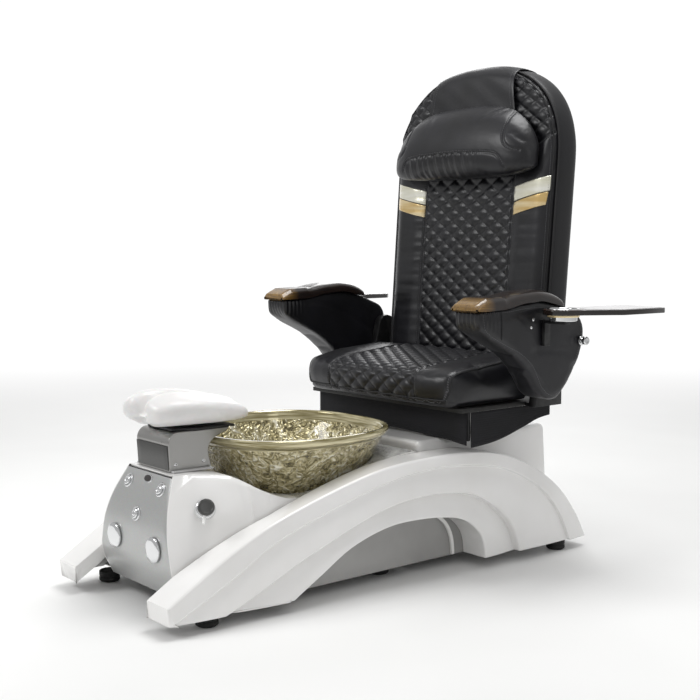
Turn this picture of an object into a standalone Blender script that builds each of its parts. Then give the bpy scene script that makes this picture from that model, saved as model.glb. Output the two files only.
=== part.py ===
"""Pedicure spa chair: a moulded base with a foot bowl, and a reclining massage seat on slide rails.

Metres, +Z up, the front (the foot bowl's end) towards -Y, the floor at z = 0. Each object is one piece.
"""

import math

import bmesh
import bpy
from mathutils import Vector

# Driving dimensions
GAP = 0.0004  # clearance between pieces that touch
FLOOR_CLEARANCE = 0.030  # height of the feet, and the level of the base's lower edge
BASE_FRONT_Y = -0.715
BASE_REAR_Y = 0.715
FENDER_OUT_FRONT = 0.290  # half-width of the base at its toes
FENDER_OUT_REAR = 0.355  # half-width of the base at its rear end
TRUNK_HALF = 0.2330  # half-width of the middle of the base, between the side fenders
CONSOLE_TOP_Z = 0.345
PLINTH_FRONT_Y = 0.118
PLINTH_REAR_Y = 0.675
PLINTH_TOP_Z = 0.366
SHELL_WALL = 0.003
BOWL_CENTRE_Y = -0.172
BOWL_HALF = 0.270  # half-width and half-length of the bowl's rim
BOWL_RIM_Z = 0.420
BOWL_FLOOR_Z = 0.150
SEAT_HALF = 0.322
SEAT_FRONT_Y = 0.135
SEAT_REAR_Y = 0.484
SEAT_BOARD_Z = 0.452
SEAT_RAIL_TOP_Z = 0.430
BACK_HALF = 0.345
BACK_BOTTOM_Z = 0.515
BACK_SHOULDER_Z = 1.165
BACK_TOP_Z = 1.455
BACK_LEAN = math.radians(4.4)
RECLINE_AXIS = (0.0, 0.560, 0.500)
ARM_IN, ARM_OUT = 0.378, 0.474  # inner and outer faces of an armrest, right side
ARM_PIVOT = (0.519, 0.646)  # y and z of the armrest's hinge
TRAY_PIVOT = (0.540, 0.362)  # x and y of the tray's swivel, right side
TRAY_Z = 0.728

# Outline curves of the side fender, seen from the side: (y, z) of the ledge's outer edge, of the two
# steps below it and of the arch's opening.
LEDGE_CURVE = [(-0.715, 0.074), (-0.537, 0.178), (-0.374, 0.248), (-0.11, 0.322), (0.10, 0.341),
               (0.30, 0.333), (0.45, 0.287), (0.58, 0.208), (0.665, 0.115), (0.715, 0.030)]
STEP_CURVE = [(-0.700, 0.036), (-0.531, 0.122), (-0.395, 0.196), (-0.101, 0.284), (0.090, 0.311),
              (0.250, 0.303), (0.371, 0.277), (0.497, 0.213), (0.580, 0.130), (0.635, 0.030)]
BAND_CURVE = [(-0.560, 0.030), (-0.472, 0.066), (-0.325, 0.133), (-0.100, 0.214), (0.060, 0.238),
              (0.199, 0.229), (0.279, 0.203), (0.354, 0.152), (0.402, 0.090), (0.423, 0.030)]
OPENING_CURVE = [(-0.360, 0.030), (-0.275, 0.081), (-0.177, 0.137), (-0.060, 0.170), (0.050, 0.175),
                 (0.150, 0.166), (0.215, 0.148), (0.262, 0.112), (0.284, 0.075), (0.291, 0.030)]

# Front edge of the console: (half-width, y, z) from the bottom up.
CONSOLE_EDGE = [(0.173, -0.612, 0.045), (0.179, -0.633, 0.090), (0.1795, -0.642, 0.125),
                (0.162, -0.642, 0.205), (0.142, -0.627, 0.270), (0.112, -0.592, CONSOLE_TOP_Z)]

COLOURS = {
    "gelcoat": ((0.80, 0.80, 0.79, 1), 0.25, 0.0),
    "grey_gelcoat": ((0.35, 0.35, 0.36, 1), 0.35, 0.0),
    "silver_panel": ((0.50, 0.51, 0.52, 1), 0.35, 0.6),
    "brushed_steel": ((0.45, 0.45, 0.46, 1), 0.30, 1.0),
    "chrome": ((0.80, 0.80, 0.80, 1), 0.08, 1.0),
    "gold_resin": ((0.55, 0.45, 0.22, 1), 0.10, 0.0),
    "black_rubber": ((0.02, 0.02, 0.02, 1), 0.70, 0.0),
    "black_steel": ((0.03, 0.03, 0.03, 1), 0.40, 0.5),
    "black_board": ((0.03, 0.03, 0.03, 1), 0.60, 0.0),
    "black_leather": ((0.02, 0.02, 0.022, 1), 0.45, 0.0),
    "black_fabric": ((0.015, 0.015, 0.016, 1), 0.85, 0.0),
    "white_vinyl": ((0.85, 0.85, 0.85, 1), 0.35, 0.0),
    "walnut_gloss": ((0.10, 0.045, 0.015, 1), 0.12, 0.0),
    "champagne_trim": ((0.75, 0.66, 0.45, 1), 0.25, 0.5),
    "white_laminate": ((0.75, 0.75, 0.75, 1), 0.20, 0.0),
}


def clear_scene():
    for obj in list(bpy.data.objects):
        bpy.data.objects.remove(obj, do_unlink=True)


def material(name):
    found = bpy.data.materials.get(name)
    if found:
        return found
    colour, roughness, metallic = COLOURS[name]
    made = bpy.data.materials.new(name)
    made.use_nodes = True
    shader = made.node_tree.nodes["Principled BSDF"]
    shader.inputs["Base Color"].default_value = colour
    shader.inputs["Roughness"].default_value = roughness
    shader.inputs["Metallic"].default_value = metallic
    return made


def world_place(obj):
    """Where an unturned empty stands, counted down its chain of parents."""
    place = Vector()
    while obj:
        place += obj.location
        obj = obj.parent
    return place


def pivot(name, place, parent=None):
    """An empty on a joint's axis, which carries the pieces that turn or slide there."""
    empty = bpy.data.objects.new(name, None)
    empty.location = Vector(place) - world_place(parent)
    empty.parent = parent
    bpy.context.scene.collection.objects.link(empty)
    return empty


def add_piece(name, points, faces, finish, parent=None, smooth=False, closed=True):
    """Makes one object from world points, with its origin at its parent's location."""
    mesh = bpy.data.meshes.new(name)
    shift = world_place(parent)
    mesh.from_pydata([Vector(point) - shift for point in points], [], faces)
    work = bmesh.new()
    work.from_mesh(mesh)
    bmesh.ops.remove_doubles(work, verts=work.verts, dist=1e-6)
    if closed:
        bmesh.ops.recalc_face_normals(work, faces=work.faces)
    work.to_mesh(mesh)
    work.free()
    if smooth:
        mesh.shade_smooth()
        mesh.set_sharp_from_angle(angle=math.radians(35))
    obj = bpy.data.objects.new(name, mesh)
    obj.data.materials.append(material(finish))
    obj.parent = parent
    bpy.context.scene.collection.objects.link(obj)
    return obj


def thicken(obj, wall):
    """Gives an open skin its wall, on the side away from its faces."""
    modifier = obj.modifiers.new("wall", "SOLIDIFY")
    modifier.thickness = wall
    modifier.offset = -1
    modifier.use_rim = True
    return obj


def soften(obj, width, segments=1):
    modifier = obj.modifiers.new("edges", "BEVEL")
    modifier.width = width
    modifier.segments = segments
    modifier.limit_method = "ANGLE"
    modifier.angle_limit = math.radians(35)
    return obj


def join(obj, other, operation="UNION"):
    """Adds or cuts a helper body, which isn't a piece of its own."""
    other.hide_render = True
    other.display_type = "WIRE"
    modifier = obj.modifiers.new(other.name, "BOOLEAN")
    modifier.operation = operation
    modifier.object = other
    return obj


def grid_faces(rows, columns, wrap=False):
    faces = []
    for row in range(rows - 1):
        for column in range(columns if wrap else columns - 1):
            after = (column + 1) % columns
            faces.append((row * columns + column, row * columns + after,
                          (row + 1) * columns + after, (row + 1) * columns + column))
    return faces


def loft(name, rings, finish, parent=None, smooth=False):
    """A closed body through closed rings of equal count, flat at both ends."""
    count = len(rings[0])
    points = [point for ring in rings for point in ring]
    faces = grid_faces(len(rings), count, wrap=True)
    faces.append(tuple(range(count))[::-1])
    faces.append(tuple(range(len(points) - count, len(points))))
    return add_piece(name, points, faces, finish, parent, smooth)


def prism(name, outline, low, high, axis, finish, parent=None, smooth=False):
    """An outline pushed from low to high along an axis. Its pairs are the other two axes, in X, Y, Z order."""
    def place(pair, level):
        point = list(pair)
        point.insert("XYZ".index(axis), level)
        return point
    rings = [[place(pair, level) for pair in outline] for level in (low, high)]
    return loft(name, rings, finish, parent, smooth)


def box(name, low, high, finish, parent=None):
    outline = [(low[0], low[1]), (high[0], low[1]), (high[0], high[1]), (low[0], high[1])]
    return prism(name, outline, low[2], high[2], "Z", finish, parent)


def turned(name, profile, centre, direction, finish, parent=None, steps=20):
    """A closed profile of (radius, height) pairs turned about an axis through the centre."""
    turn = Vector((0, 0, 1)).rotation_difference(Vector(direction)).to_matrix()
    points, faces = [], []
    count = len(profile)
    for step in range(steps):
        angle = 2 * math.pi * step / steps
        for radius, height in profile:
            local = Vector((radius * math.cos(angle), radius * math.sin(angle), height))
            points.append(turn @ local + Vector(centre))
    for step in range(steps):
        after = (step + 1) % steps
        for index in range(count):
            following = (index + 1) % count
            corners = (step * count + index, after * count + index,
                       after * count + following, step * count + following)
            if profile[index][0] > 1e-9 or profile[following][0] > 1e-9:
                faces.append(corners)
    work = bmesh.new()
    made = [work.verts.new(point) for point in points]
    for corners in faces:
        work.faces.new([made[corner] for corner in corners])
    bmesh.ops.remove_doubles(work, verts=work.verts, dist=1e-6)
    bmesh.ops.dissolve_degenerate(work, edges=work.edges, dist=1e-7)
    work.verts.index_update()
    found = [tuple(vert.co) for vert in work.verts]
    loops = [tuple(vert.index for vert in face.verts) for face in work.faces]
    work.free()
    return add_piece(name, found, loops, finish, parent, smooth=True)


def disc_profile(radius, low, high, edge=0.0):
    if edge:
        return [(0, low), (radius, low), (radius, high - edge), (radius - edge, high), (0, high)]
    return [(0, low), (radius, low), (radius, high), (0, high)]


def tube(name, route, radius, finish, parent=None, sides=10):
    """A solid round bar or filled hose along a route."""
    rings = []
    for index, point in enumerate(route):
        before = Vector(route[max(index - 1, 0)])
        after = Vector(route[min(index + 1, len(route) - 1)])
        ahead = (after - before).normalized()
        turn = Vector((0, 0, 1)).rotation_difference(ahead).to_matrix()
        rings.append([Vector(point) + turn @ Vector((radius * math.cos(a), radius * math.sin(a), 0))
                      for a in (2 * math.pi * side / sides for side in range(sides))])
    return loft(name, rings, finish, parent, smooth=True)


def smooth_curve(points, count):
    """Evenly numbered points on a Catmull-Rom curve through the given ones."""
    ends = [points[0]] + list(points) + [points[-1]]
    found = []
    for step in range(count):
        place = step * (len(points) - 1) / (count - 1)
        index = min(int(place), len(points) - 2)
        t = place - index
        p0, p1, p2, p3 = (Vector(point) for point in ends[index:index + 4])
        found.append(0.5 * (2 * p1 + (p2 - p0) * t + (2 * p0 - 5 * p1 + 4 * p2 - p3) * t * t
                            + (3 * p1 - p0 - 3 * p2 + p3) * t ** 3))
    return found


def height_on(curve, y):
    """Height of a side curve at a distance along the base."""
    dense = smooth_curve(curve, 120)
    for before, after in zip(dense, dense[1:]):
        if before[0] <= y <= after[0]:
            return before[1] + (after[1] - before[1]) * (y - before[0]) / (after[0] - before[0])
    return curve[0][1] if y < curve[0][0] else curve[-1][1]


def trunk_half(y):
    """Half-width of the middle of the base: narrow at the console's front, then straight."""
    share = min(max((y + 0.645) / 0.245, 0.0), 1.0)
    return 0.182 + (TRUNK_HALF - 0.182) * share


def fender_half(y):
    share = (y - BASE_FRONT_Y) / (BASE_REAR_Y - BASE_FRONT_Y)
    return FENDER_OUT_FRONT + (FENDER_OUT_REAR - FENDER_OUT_FRONT) * share


def oval_ring(half_x, half_y, centre_y, z, count=28, power=2.5):
    ring = []
    for step in range(count):
        angle = 2 * math.pi * step / count
        c, s = math.cos(angle), math.sin(angle)
        ring.append((half_x * math.copysign(abs(c) ** (2 / power), c),
                     centre_y + half_y * math.copysign(abs(s) ** (2 / power), s), z))
    return ring


def mirrored(outline, side):
    return [(side * point[0], *point[1:]) for point in outline]


def make_fender(side, label):
    """One side of the base: a ledge, three overlapping bands and the arch's soffit, moulded as one skin."""
    stations = 22
    toe = [(BASE_FRONT_Y + 0.004, FLOOR_CLEARANCE)]
    ledge = toe + [tuple(p) for p in smooth_curve(LEDGE_CURVE, stations)]
    step = [(-0.690, FLOOR_CLEARANCE)] + [tuple(p) for p in smooth_curve(STEP_CURVE, stations)]
    band = [BAND_CURVE[0]] + [tuple(p) for p in smooth_curve(BAND_CURVE, stations)]
    opening = [OPENING_CURVE[0]] + [tuple(p) for p in smooth_curve(OPENING_CURVE, stations)]
    band[0] = (band[0][0] - 0.012, FLOOR_CLEARANCE)
    opening[0] = (opening[0][0] - 0.010, FLOOR_CLEARANCE)
    lining_x = TRUNK_HALF + 0.0105
    points = []
    for (ay, az), (by, bz), (cy, cz), (dy, dz) in zip(ledge, step, band, opening):
        edge_x = trunk_half(ay) + 0.0038
        flange_z = max(FLOOR_CLEARANCE, az - 0.045)
        low = 0.004  # how far each band starts under the lip of the one above
        row = [(edge_x, ay, flange_z), (edge_x, ay, az), (fender_half(ay) - 0.010, ay, az),
               (fender_half(by), by, bz), (fender_half(by) - 0.010, by, max(bz - low, FLOOR_CLEARANCE)),
               (fender_half(cy), cy, cz), (fender_half(cy) - 0.024, cy, max(cz - low, FLOOR_CLEARANCE)),
               (fender_half(dy) - 0.004, dy, dz), (lining_x, dy, dz)]
        points.extend(mirrored(row, side))
    faces = grid_faces(stations + 1, 9)
    if side < 0:
        faces = [face[::-1] for face in faces]
    fender = add_piece(f"side_fender_{label}", points, faces, "gelcoat", smooth=True, closed=False)
    thicken(fender, SHELL_WALL)

    plate = [(-0.375, FLOOR_CLEARANCE)]
    plate += [(y * 1.04, z + 0.012) for y, z in smooth_curve(OPENING_CURVE[1:-1], 9)]
    plate.append((0.303, FLOOR_CLEARANCE))
    inner, outer = TRUNK_HALF + 0.0045, TRUNK_HALF + 0.0095
    low, high = (inner, outer) if side > 0 else (-outer, -inner)
    prism(f"arch_lining_{label}", plate, low, high, "X", "grey_gelcoat")


def console_grid():
    """Rows of the upper base shell, front to back. Each runs from the right side over the top to the left."""
    # distance along the base, top edge's half-width and height, and whether the bowl's pocket is there
    stations = [(-0.545, 0.124, 0.346, False), (-0.478, 0.165, 0.341, False), (-0.452, 0.186, 0.333, False),
                (-0.444, 0.196, 0.328, True), (-0.390, 0.222, 0.296, True), (-0.330, 0.229, 0.274, True),
                (-0.250, 0.229, 0.272, True), (-0.160, 0.229, 0.294, True), (-0.080, 0.229, 0.318, True),
                (0.010, 0.229, 0.336, True), (0.080, 0.229, 0.343, True), (0.088, 0.229, 0.344, False),
                (0.114, 0.229, 0.345, False)]
    pocket_ends = (-0.444, 0.080)
    rows = []
    edge = [(x, y, z) for x, y, z in CONSOLE_EDGE]
    top_x, top_y, top_z = edge[-1]
    rows.append(edge + [(top_x - 0.012, top_y, top_z), (top_x * 0.5, top_y, top_z)])
    for y, half, top, pocket in stations:
        low_x, low_z = trunk_half(y), min(height_on(LEDGE_CURVE, y), top) - 0.030
        row = []
        for index in range(6):
            share = index / 5
            bulge = 0.010 * math.sin(math.pi * share) * (top - low_z) / 0.2
            lean = share ** 1.6
            row.append((low_x + (half - low_x) * lean + bulge * (half < 0.2), y, low_z + (top - low_z) * share))
        if pocket:
            steep = 0.012 if y in pocket_ends else 0.0
            narrow = 0.150 if y in pocket_ends else 0.218
            row += [(min(half - 0.011, 0.218), y, top), (0.165 if not steep else narrow, y, 0.125)]
        else:
            row += [(half - 0.012, y, top), (half * 0.5, y, top)]
        rows.append(row)
    return rows


def make_base_shell():
    rows = console_grid()
    points = []
    for row in rows:
        middle = [(0.0, row[-1][1], row[-1][2])]
        points.extend(row + middle + [(-x, y, z) for x, y, z in reversed(row)])
    columns = len(points) // len(rows)
    faces = [face[::-1] for face in grid_faces(len(rows), columns)]
    shell = add_piece("base_shell", points, faces, "gelcoat", smooth=True, closed=False)
    thicken(shell, SHELL_WALL)

    low, high = (0.055, PLINTH_TOP_Z)
    front, rear, half = PLINTH_FRONT_Y, PLINTH_REAR_Y, TRUNK_HALF - 0.0005
    top_half = half - 0.012
    corners = [(-half, front, low), (half, front, low), (half, rear, low), (-half, rear, low),
               (-top_half, front + 0.010, high), (top_half, front + 0.010, high),
               (top_half, rear - 0.006, high), (-top_half, rear - 0.006, high)]
    sides = [(0, 1, 5, 4), (1, 2, 6, 5), (2, 3, 7, 6), (3, 0, 4, 7), (4, 5, 6, 7)]
    plinth = add_piece("plinth_shell", corners, sides, "gelcoat", closed=False)
    soften(plinth, 0.012, 2)
    thicken(plinth, SHELL_WALL)


def make_console_panel():
    inset = 0.0045
    rows = [(x - inset, y, z) for x, y, z in CONSOLE_EDGE]
    x, y, z = rows[-1]
    before = rows[-2]
    share = 0.92
    rows[-1] = tuple(b + (a - b) * share for a, b in zip((x, y, z), before))
    points = []
    for x, y, z in rows:
        points.extend([(-x, y, z), (x, y, z)])
    panel = add_piece("console_panel", points, grid_faces(len(rows), 2), "silver_panel", closed=False)
    for polygon in panel.data.polygons:
        if polygon.normal.y > 0:
            panel.data.flip_normals()
        break
    thicken(panel, 0.003)


def panel_spot(facet, x):
    """Place and outward direction at the middle of one facet of the console panel."""
    low, high = Vector(CONSOLE_EDGE[facet][1:]), Vector(CONSOLE_EDGE[facet + 1][1:])
    middle, along = (low + high) / 2, (high - low).normalized()
    return Vector((x, middle[0], middle[1])), Vector((0, -along[1], along[0]))


def make_controls():
    spots = {"jet_button": (4, -0.080), "light_button": (4, 0.080), "drain_button": (3, 0.0)}
    for name, (facet, x) in spots.items():
        place, out = panel_spot(facet, x)
        empty = pivot(f"{name}_slide", place)
        turned(name, disc_profile(0.0130, 0.0034, 0.0090, 0.0015), place, out, "chrome", empty)
    for label, side in (("hot", -1), ("cold", 1)):
        place, out = panel_spot(2, side * 0.098)
        empty = pivot(f"{label}_knob_axis", place)
        profile = [(0, GAP), (0.026, GAP), (0.0325, 0.003), (0.0325, 0.008), (0.028, 0.0105), (0, 0.012)]
        turned(f"{label}_water_knob", profile, place, out, "chrome", empty)


def make_mixer():
    """The mixer's collar on the console's right side, and the handle that turns in it."""
    rows = console_grid()
    across = Vector(rows[2][3]) - Vector(rows[0][3])
    up = Vector(rows[1][4]) - Vector(rows[1][2])
    out = up.cross(across).normalized()
    out = out if out.x > 0 else -out
    place = Vector(rows[1][3]) + out * 0.006
    turned("mixer_collar", [(0.0085, 0), (0.027, 0), (0.027, 0.004), (0.022, 0.012), (0.0085, 0.012)],
           place, out, "chrome")
    empty = pivot("mixer_axis", place)
    turned("mixer_handle", [(0, 0.001), (0.008, 0.001), (0.008, 0.0125), (0.021, 0.0125), (0.021, 0.030),
                            (0.019, 0.032), (0, 0.032)], place, out, "black_steel", empty)
    down = (Vector((0, -0.25, -1)) - out * Vector((0, -0.25, -1)).dot(out)).normalized()
    start = place + out * 0.024 + down * 0.0216
    tube("mixer_lever", [start, start + down * 0.012 + out * 0.002, start + down * 0.022 + out * 0.006],
         0.0035, "chrome", empty, 8)


def make_bowl():
    # height and half-size of the outside, from the floor up to the rim
    outside = [(0.000, 0.46), (0.030, 0.540), (0.110, 0.700), (0.190, 0.850), (0.245, 0.950), (0.262, 1.0),
               (0.270, 1.0)]
    rings = [oval_ring(BOWL_HALF * s, BOWL_HALF * s * 1.01, BOWL_CENTRE_Y, BOWL_FLOOR_Z + h) for h, s in outside]
    wall = 0.008
    for height, size in reversed(outside):
        half = BOWL_HALF * size - wall - (0.012 if height > 0.25 else 0)
        rings.append(oval_ring(half, half * 1.01, BOWL_CENTRE_Y, max(BOWL_FLOOR_Z + height, BOWL_FLOOR_Z + wall)))
    loft("bowl", rings, "gold_resin", smooth=True)
    centre = (0, BOWL_CENTRE_Y + 0.03, BOWL_FLOOR_Z + 0.008 + GAP)
    turned("drain_strainer", [(0, 0), (0.026, 0), (0.030, 0.0015), (0.026, 0.004), (0, 0.003)], centre,
           (0, 0, 1), "chrome")
    jet = (0, BOWL_CENTRE_Y - 0.066, BOWL_FLOOR_Z + 0.008 + GAP)
    turned("jet_cover", [(0, 0), (0.040, 0), (0.040, 0.010), (0.032, 0.018), (0, 0.020)], jet, (0, 0, 1),
           "chrome")


def make_inner_works():
    """What the base holds: the jet's motor, the waste hose, the supply box and the steel frame."""
    turned("jet_motor", disc_profile(0.038, 0.0, 0.052, 0.006), (0, BOWL_CENTRE_Y - 0.066, 0.0665), (0, 0, 1),
           "black_steel")
    tube("drain_hose", [(0.0, -0.142, 0.1185), (0.0, -0.142, 0.105), (0.0, -0.12, 0.095), (0.0, -0.05, 0.092),
                        (0.0, 0.08, 0.092)], 0.016, "black_rubber")
    box("supply_box", (-0.10, 0.30, 0.0715), (0.10, 0.46, 0.170), "black_steel")
    low, high = FLOOR_CLEARANCE + GAP, 0.052
    frame = box("base_frame", (-0.262, -0.571, low), (0.262, -0.541, high), "black_steel")
    join(frame, box("frame_bar_middle", (-0.192, 0.014, low), (0.192, 0.046, high), "black_steel"))
    join(frame, box("frame_bar_rear", (-0.330, 0.599, low), (0.330, 0.631, high), "black_steel"))
    for label, x in (("left", -0.13), ("right", 0.13)):
        join(frame, box(f"frame_bar_{label}", (x - 0.014, -0.555, low + 0.002), (x + 0.014, 0.615, high - 0.002),
                        "black_steel"))
        box(f"seat_rail_{label}", (x - 0.018, 0.325, PLINTH_TOP_Z + GAP), (x + 0.018, 0.640, SEAT_RAIL_TOP_Z),
            "brushed_steel")
    for row, y, x in (("front", -0.585, 0.245), ("middle", 0.030, 0.170), ("rear", 0.615, 0.312)):
        for label, side in (("left", -1), ("right", 1)):
            profile = [(0, 0), (0.024, 0), (0.028, 0.004), (0.028, FLOOR_CLEARANCE), (0, FLOOR_CLEARANCE)]
            turned(f"foot_{row}_{label}", profile, (side * x, y, 0), (0, 0, 1), "black_rubber", steps=16)


def make_footrest():
    """The metal housing on the console, and the sliding plate and pad that carry the feet."""
    base = CONSOLE_TOP_Z + 0.0022
    shoulder = [(-0.557 - 0.030 * math.cos(a), 0.417 + 0.030 * math.sin(a))
                for a in (math.radians(step) for step in (10, 35, 60, 90))]
    neck = [(-0.405, 0.447), (-0.412, 0.436), (-0.447, 0.425), (-0.466, 0.408), (-0.470, 0.390)]
    outline = [(-0.583, base)] + shoulder + neck + [(-0.459, base)]
    soften(prism("footrest_housing", outline, -0.079, 0.079, "X", "brushed_steel"), 0.002)
    empty = pivot("footrest_slide", (0, -0.50, 0.452))
    plate = [(-0.060, -0.565), (0.060, -0.565), (0.085, -0.500), (0.085, -0.392), (-0.085, -0.392), (-0.085, -0.500)]
    prism("footrest_plate", plate, 0.4475, 0.4535, "Z", "black_steel", empty)
    sections = [(-0.640, 0.050, 0.478, 0.508), (-0.625, 0.092, 0.458, 0.530), (-0.570, 0.118, 0.4545, 0.545),
                (-0.480, 0.128, 0.4545, 0.540), (-0.400, 0.132, 0.4545, 0.520), (-0.365, 0.118, 0.4560, 0.505),
                (-0.352, 0.090, 0.462, 0.488)]
    rings = []
    for y, half, low, high in sections:
        middle = (low + high) / 2
        rings.append([(-half, y, middle), (-half * 0.8, y, low), (half * 0.8, y, low), (half, y, middle),
                      (half * 0.72, y, high), (half * 0.36, y, high), (0, y, high - 0.008),
                      (-half * 0.36, y, high), (-half * 0.72, y, high)])
    loft("footrest_pad", rings, "white_vinyl", empty, smooth=True)


def make_seat(seat):
    front, rear, half = SEAT_FRONT_Y, SEAT_REAR_Y, SEAT_HALF
    box("seat_board", (-0.334, 0.190, SEAT_BOARD_Z), (0.334, 0.560, SEAT_BOARD_Z + 0.012), "black_board", seat)
    box("slide_carriage", (-0.155, 0.335, SEAT_RAIL_TOP_Z + GAP), (0.155, 0.540, SEAT_BOARD_Z - GAP),
        "black_steel", seat)
    low = SEAT_BOARD_Z + 0.012 + GAP
    side = [(front + 0.014, low), (front, 0.490), (front - 0.006, 0.535), (front + 0.012, 0.566),
            (front + 0.060, 0.578), (rear - 0.030, 0.606), (rear - 0.006, 0.600), (rear, 0.575), (rear, low)]
    rings = []
    for share, trim in ((-1.0, 0.92), (-0.95, 1.0), (0.95, 1.0), (1.0, 0.92)):
        middle_y, middle_z = (front + rear) / 2, (low + 0.578) / 2
        rings.append([(half * share, middle_y + (y - middle_y) * (trim * 0.02 + 0.98),
                       middle_z + (z - middle_z) * trim) for y, z in side])
    loft("seat_cushion", rings, "black_leather", seat)
    front_skirt = [(-0.328, 0.360), (-0.20, 0.370), (0.0, 0.3755), (0.20, 0.370), (0.328, 0.360),
                   (0.328, SEAT_BOARD_Z - GAP), (-0.328, SEAT_BOARD_Z - GAP)]
    prism("skirt_front", front_skirt, 0.2130, 0.2165, "Y", "black_fabric", seat)
    side_skirt = [(0.226, 0.353), (0.330, 0.362), (0.430, 0.388), (0.500, 0.408), (0.556, 0.416),
                  (0.556, SEAT_BOARD_Z - GAP), (0.226, SEAT_BOARD_Z - GAP)]
    for label, side_of in (("left", -1), ("right", 1)):
        low, high = sorted((side_of * 0.3300, side_of * 0.3335))
        prism(f"skirt_{label}", side_skirt, low, high, "X", "black_fabric", seat)
        y, z = ARM_PIVOT
        plate = [(0.440, SEAT_BOARD_Z), (0.554, SEAT_BOARD_Z), (0.554, 0.600)]
        plate += [(y + 0.034 * math.cos(a), z + 0.034 * math.sin(a))
                  for a in (math.radians(step) for step in range(0, 181, 30))]
        low, high = sorted((side_of * 0.3500, side_of * (ARM_IN - 0.0008)))
        bracket = prism(f"arm_bracket_{label}", plate, low, high, "X", "black_steel", seat)
        low, high = sorted((side_of * (0.334 + GAP), side_of * 0.356))
        foot = box(f"bracket_foot_{label}", (low, 0.444, SEAT_BOARD_Z + 0.001), (high, 0.550, SEAT_BOARD_Z + 0.011),
                   "black_steel", seat)
        join(bracket, foot)


def back_y(z):
    """Front face of the back at a height."""
    return 0.494 + (z - BACK_BOTTOM_Z) * math.tan(BACK_LEAN)


def back_outline(half, bottom, top, shoulder, steps=12):
    """Half-round top on straight sides, from the lower left corner round to the lower right one."""
    outline = [(-half * 0.985, bottom), (-half, (bottom + shoulder) / 2)]
    for step in range(steps + 1):
        angle = math.pi - math.pi * step / steps
        outline.append((half * math.copysign(abs(math.cos(angle)) ** 0.78, math.cos(angle)),
                        shoulder + (top - shoulder) * math.sin(angle) ** 0.9))
    return outline + [(half, (bottom + shoulder) / 2), (half * 0.985, bottom)]


def make_back(back):
    def ring(inset, depth, bottom_inset=0.0):
        outline = back_outline(BACK_HALF - inset, BACK_BOTTOM_Z + bottom_inset, BACK_TOP_Z - inset, BACK_SHOULDER_Z)
        return [(x, back_y(z) + depth, z) for x, z in outline]
    cushion = [ring(0.022, 0.0, 0.020), ring(0.008, 0.012, 0.010), ring(0.006, 0.050, 0.008)]
    loft("back_cushion", cushion, "black_leather", back, smooth=True)
    shell = [ring(0.0, 0.054), ring(0.0, 0.088), ring(0.018, 0.118, 0.010), ring(0.060, 0.138, 0.040),
             ring(0.064, 0.132, 0.044), ring(0.026, 0.112, 0.016), ring(0.008, 0.086, 0.006),
             ring(0.008, 0.054, 0.006)]
    count = len(shell[0])
    points = [point for row in shell for point in row]
    faces = grid_faces(len(shell), count, wrap=True)
    rear_cap = tuple(range(3 * count, 4 * count))
    inner_cap = tuple(range(4 * count, 5 * count))[::-1]
    faces = [face for face in faces if not (min(face) >= 3 * count and max(face) < 5 * count)]
    faces += [rear_cap, inner_cap]
    faces += [(7 * count + index, 7 * count + (index + 1) % count, (index + 1) % count, index)
              for index in range(count)]
    add_piece("back_shell", points, faces, "black_leather", back, smooth=True)
    box("massage_unit", (-0.11, 0.605, 0.700), (0.11, 0.640, 1.020), "black_steel", back)
    for label, side in (("left", -1), ("right", 1)):
        corners = [(0.190, 1.000), (0.322, 1.028), (0.328, 1.116), (0.188, 1.086)]
        rings = [[(side * x, back_y(z) - depth, z) for x, z in corners] for depth in (0.0040, GAP)]
        loft(f"trim_band_{label}", rings, "champagne_trim", back)
    sections = [(-0.300, 0.80), (-0.282, 1.0), (-0.10, 1.08), (0.10, 1.08), (0.282, 1.0), (0.300, 0.80)]
    low, high = 1.114, 1.346
    rings = []
    for x, size in sections:
        middle = (low + high) / 2 - (0.016 if size < 1.05 else 0.0)
        span = (high - low) / 2 * (0.84 if size < 1 else 0.93 if size < 1.05 else 1.0)
        deep = 0.086 * size
        shape = [(0.20, -1.0), (0.75, -0.92), (1.0, -0.45), (1.0, 0.10), (0.72, 0.72), (0.20, 1.0)]
        rings.append([(x, back_y(middle + v * span) - 0.006 - u * deep, middle + v * span)
                      for u, v in shape])
    loft("head_pillow", rings, "black_leather", back)


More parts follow.
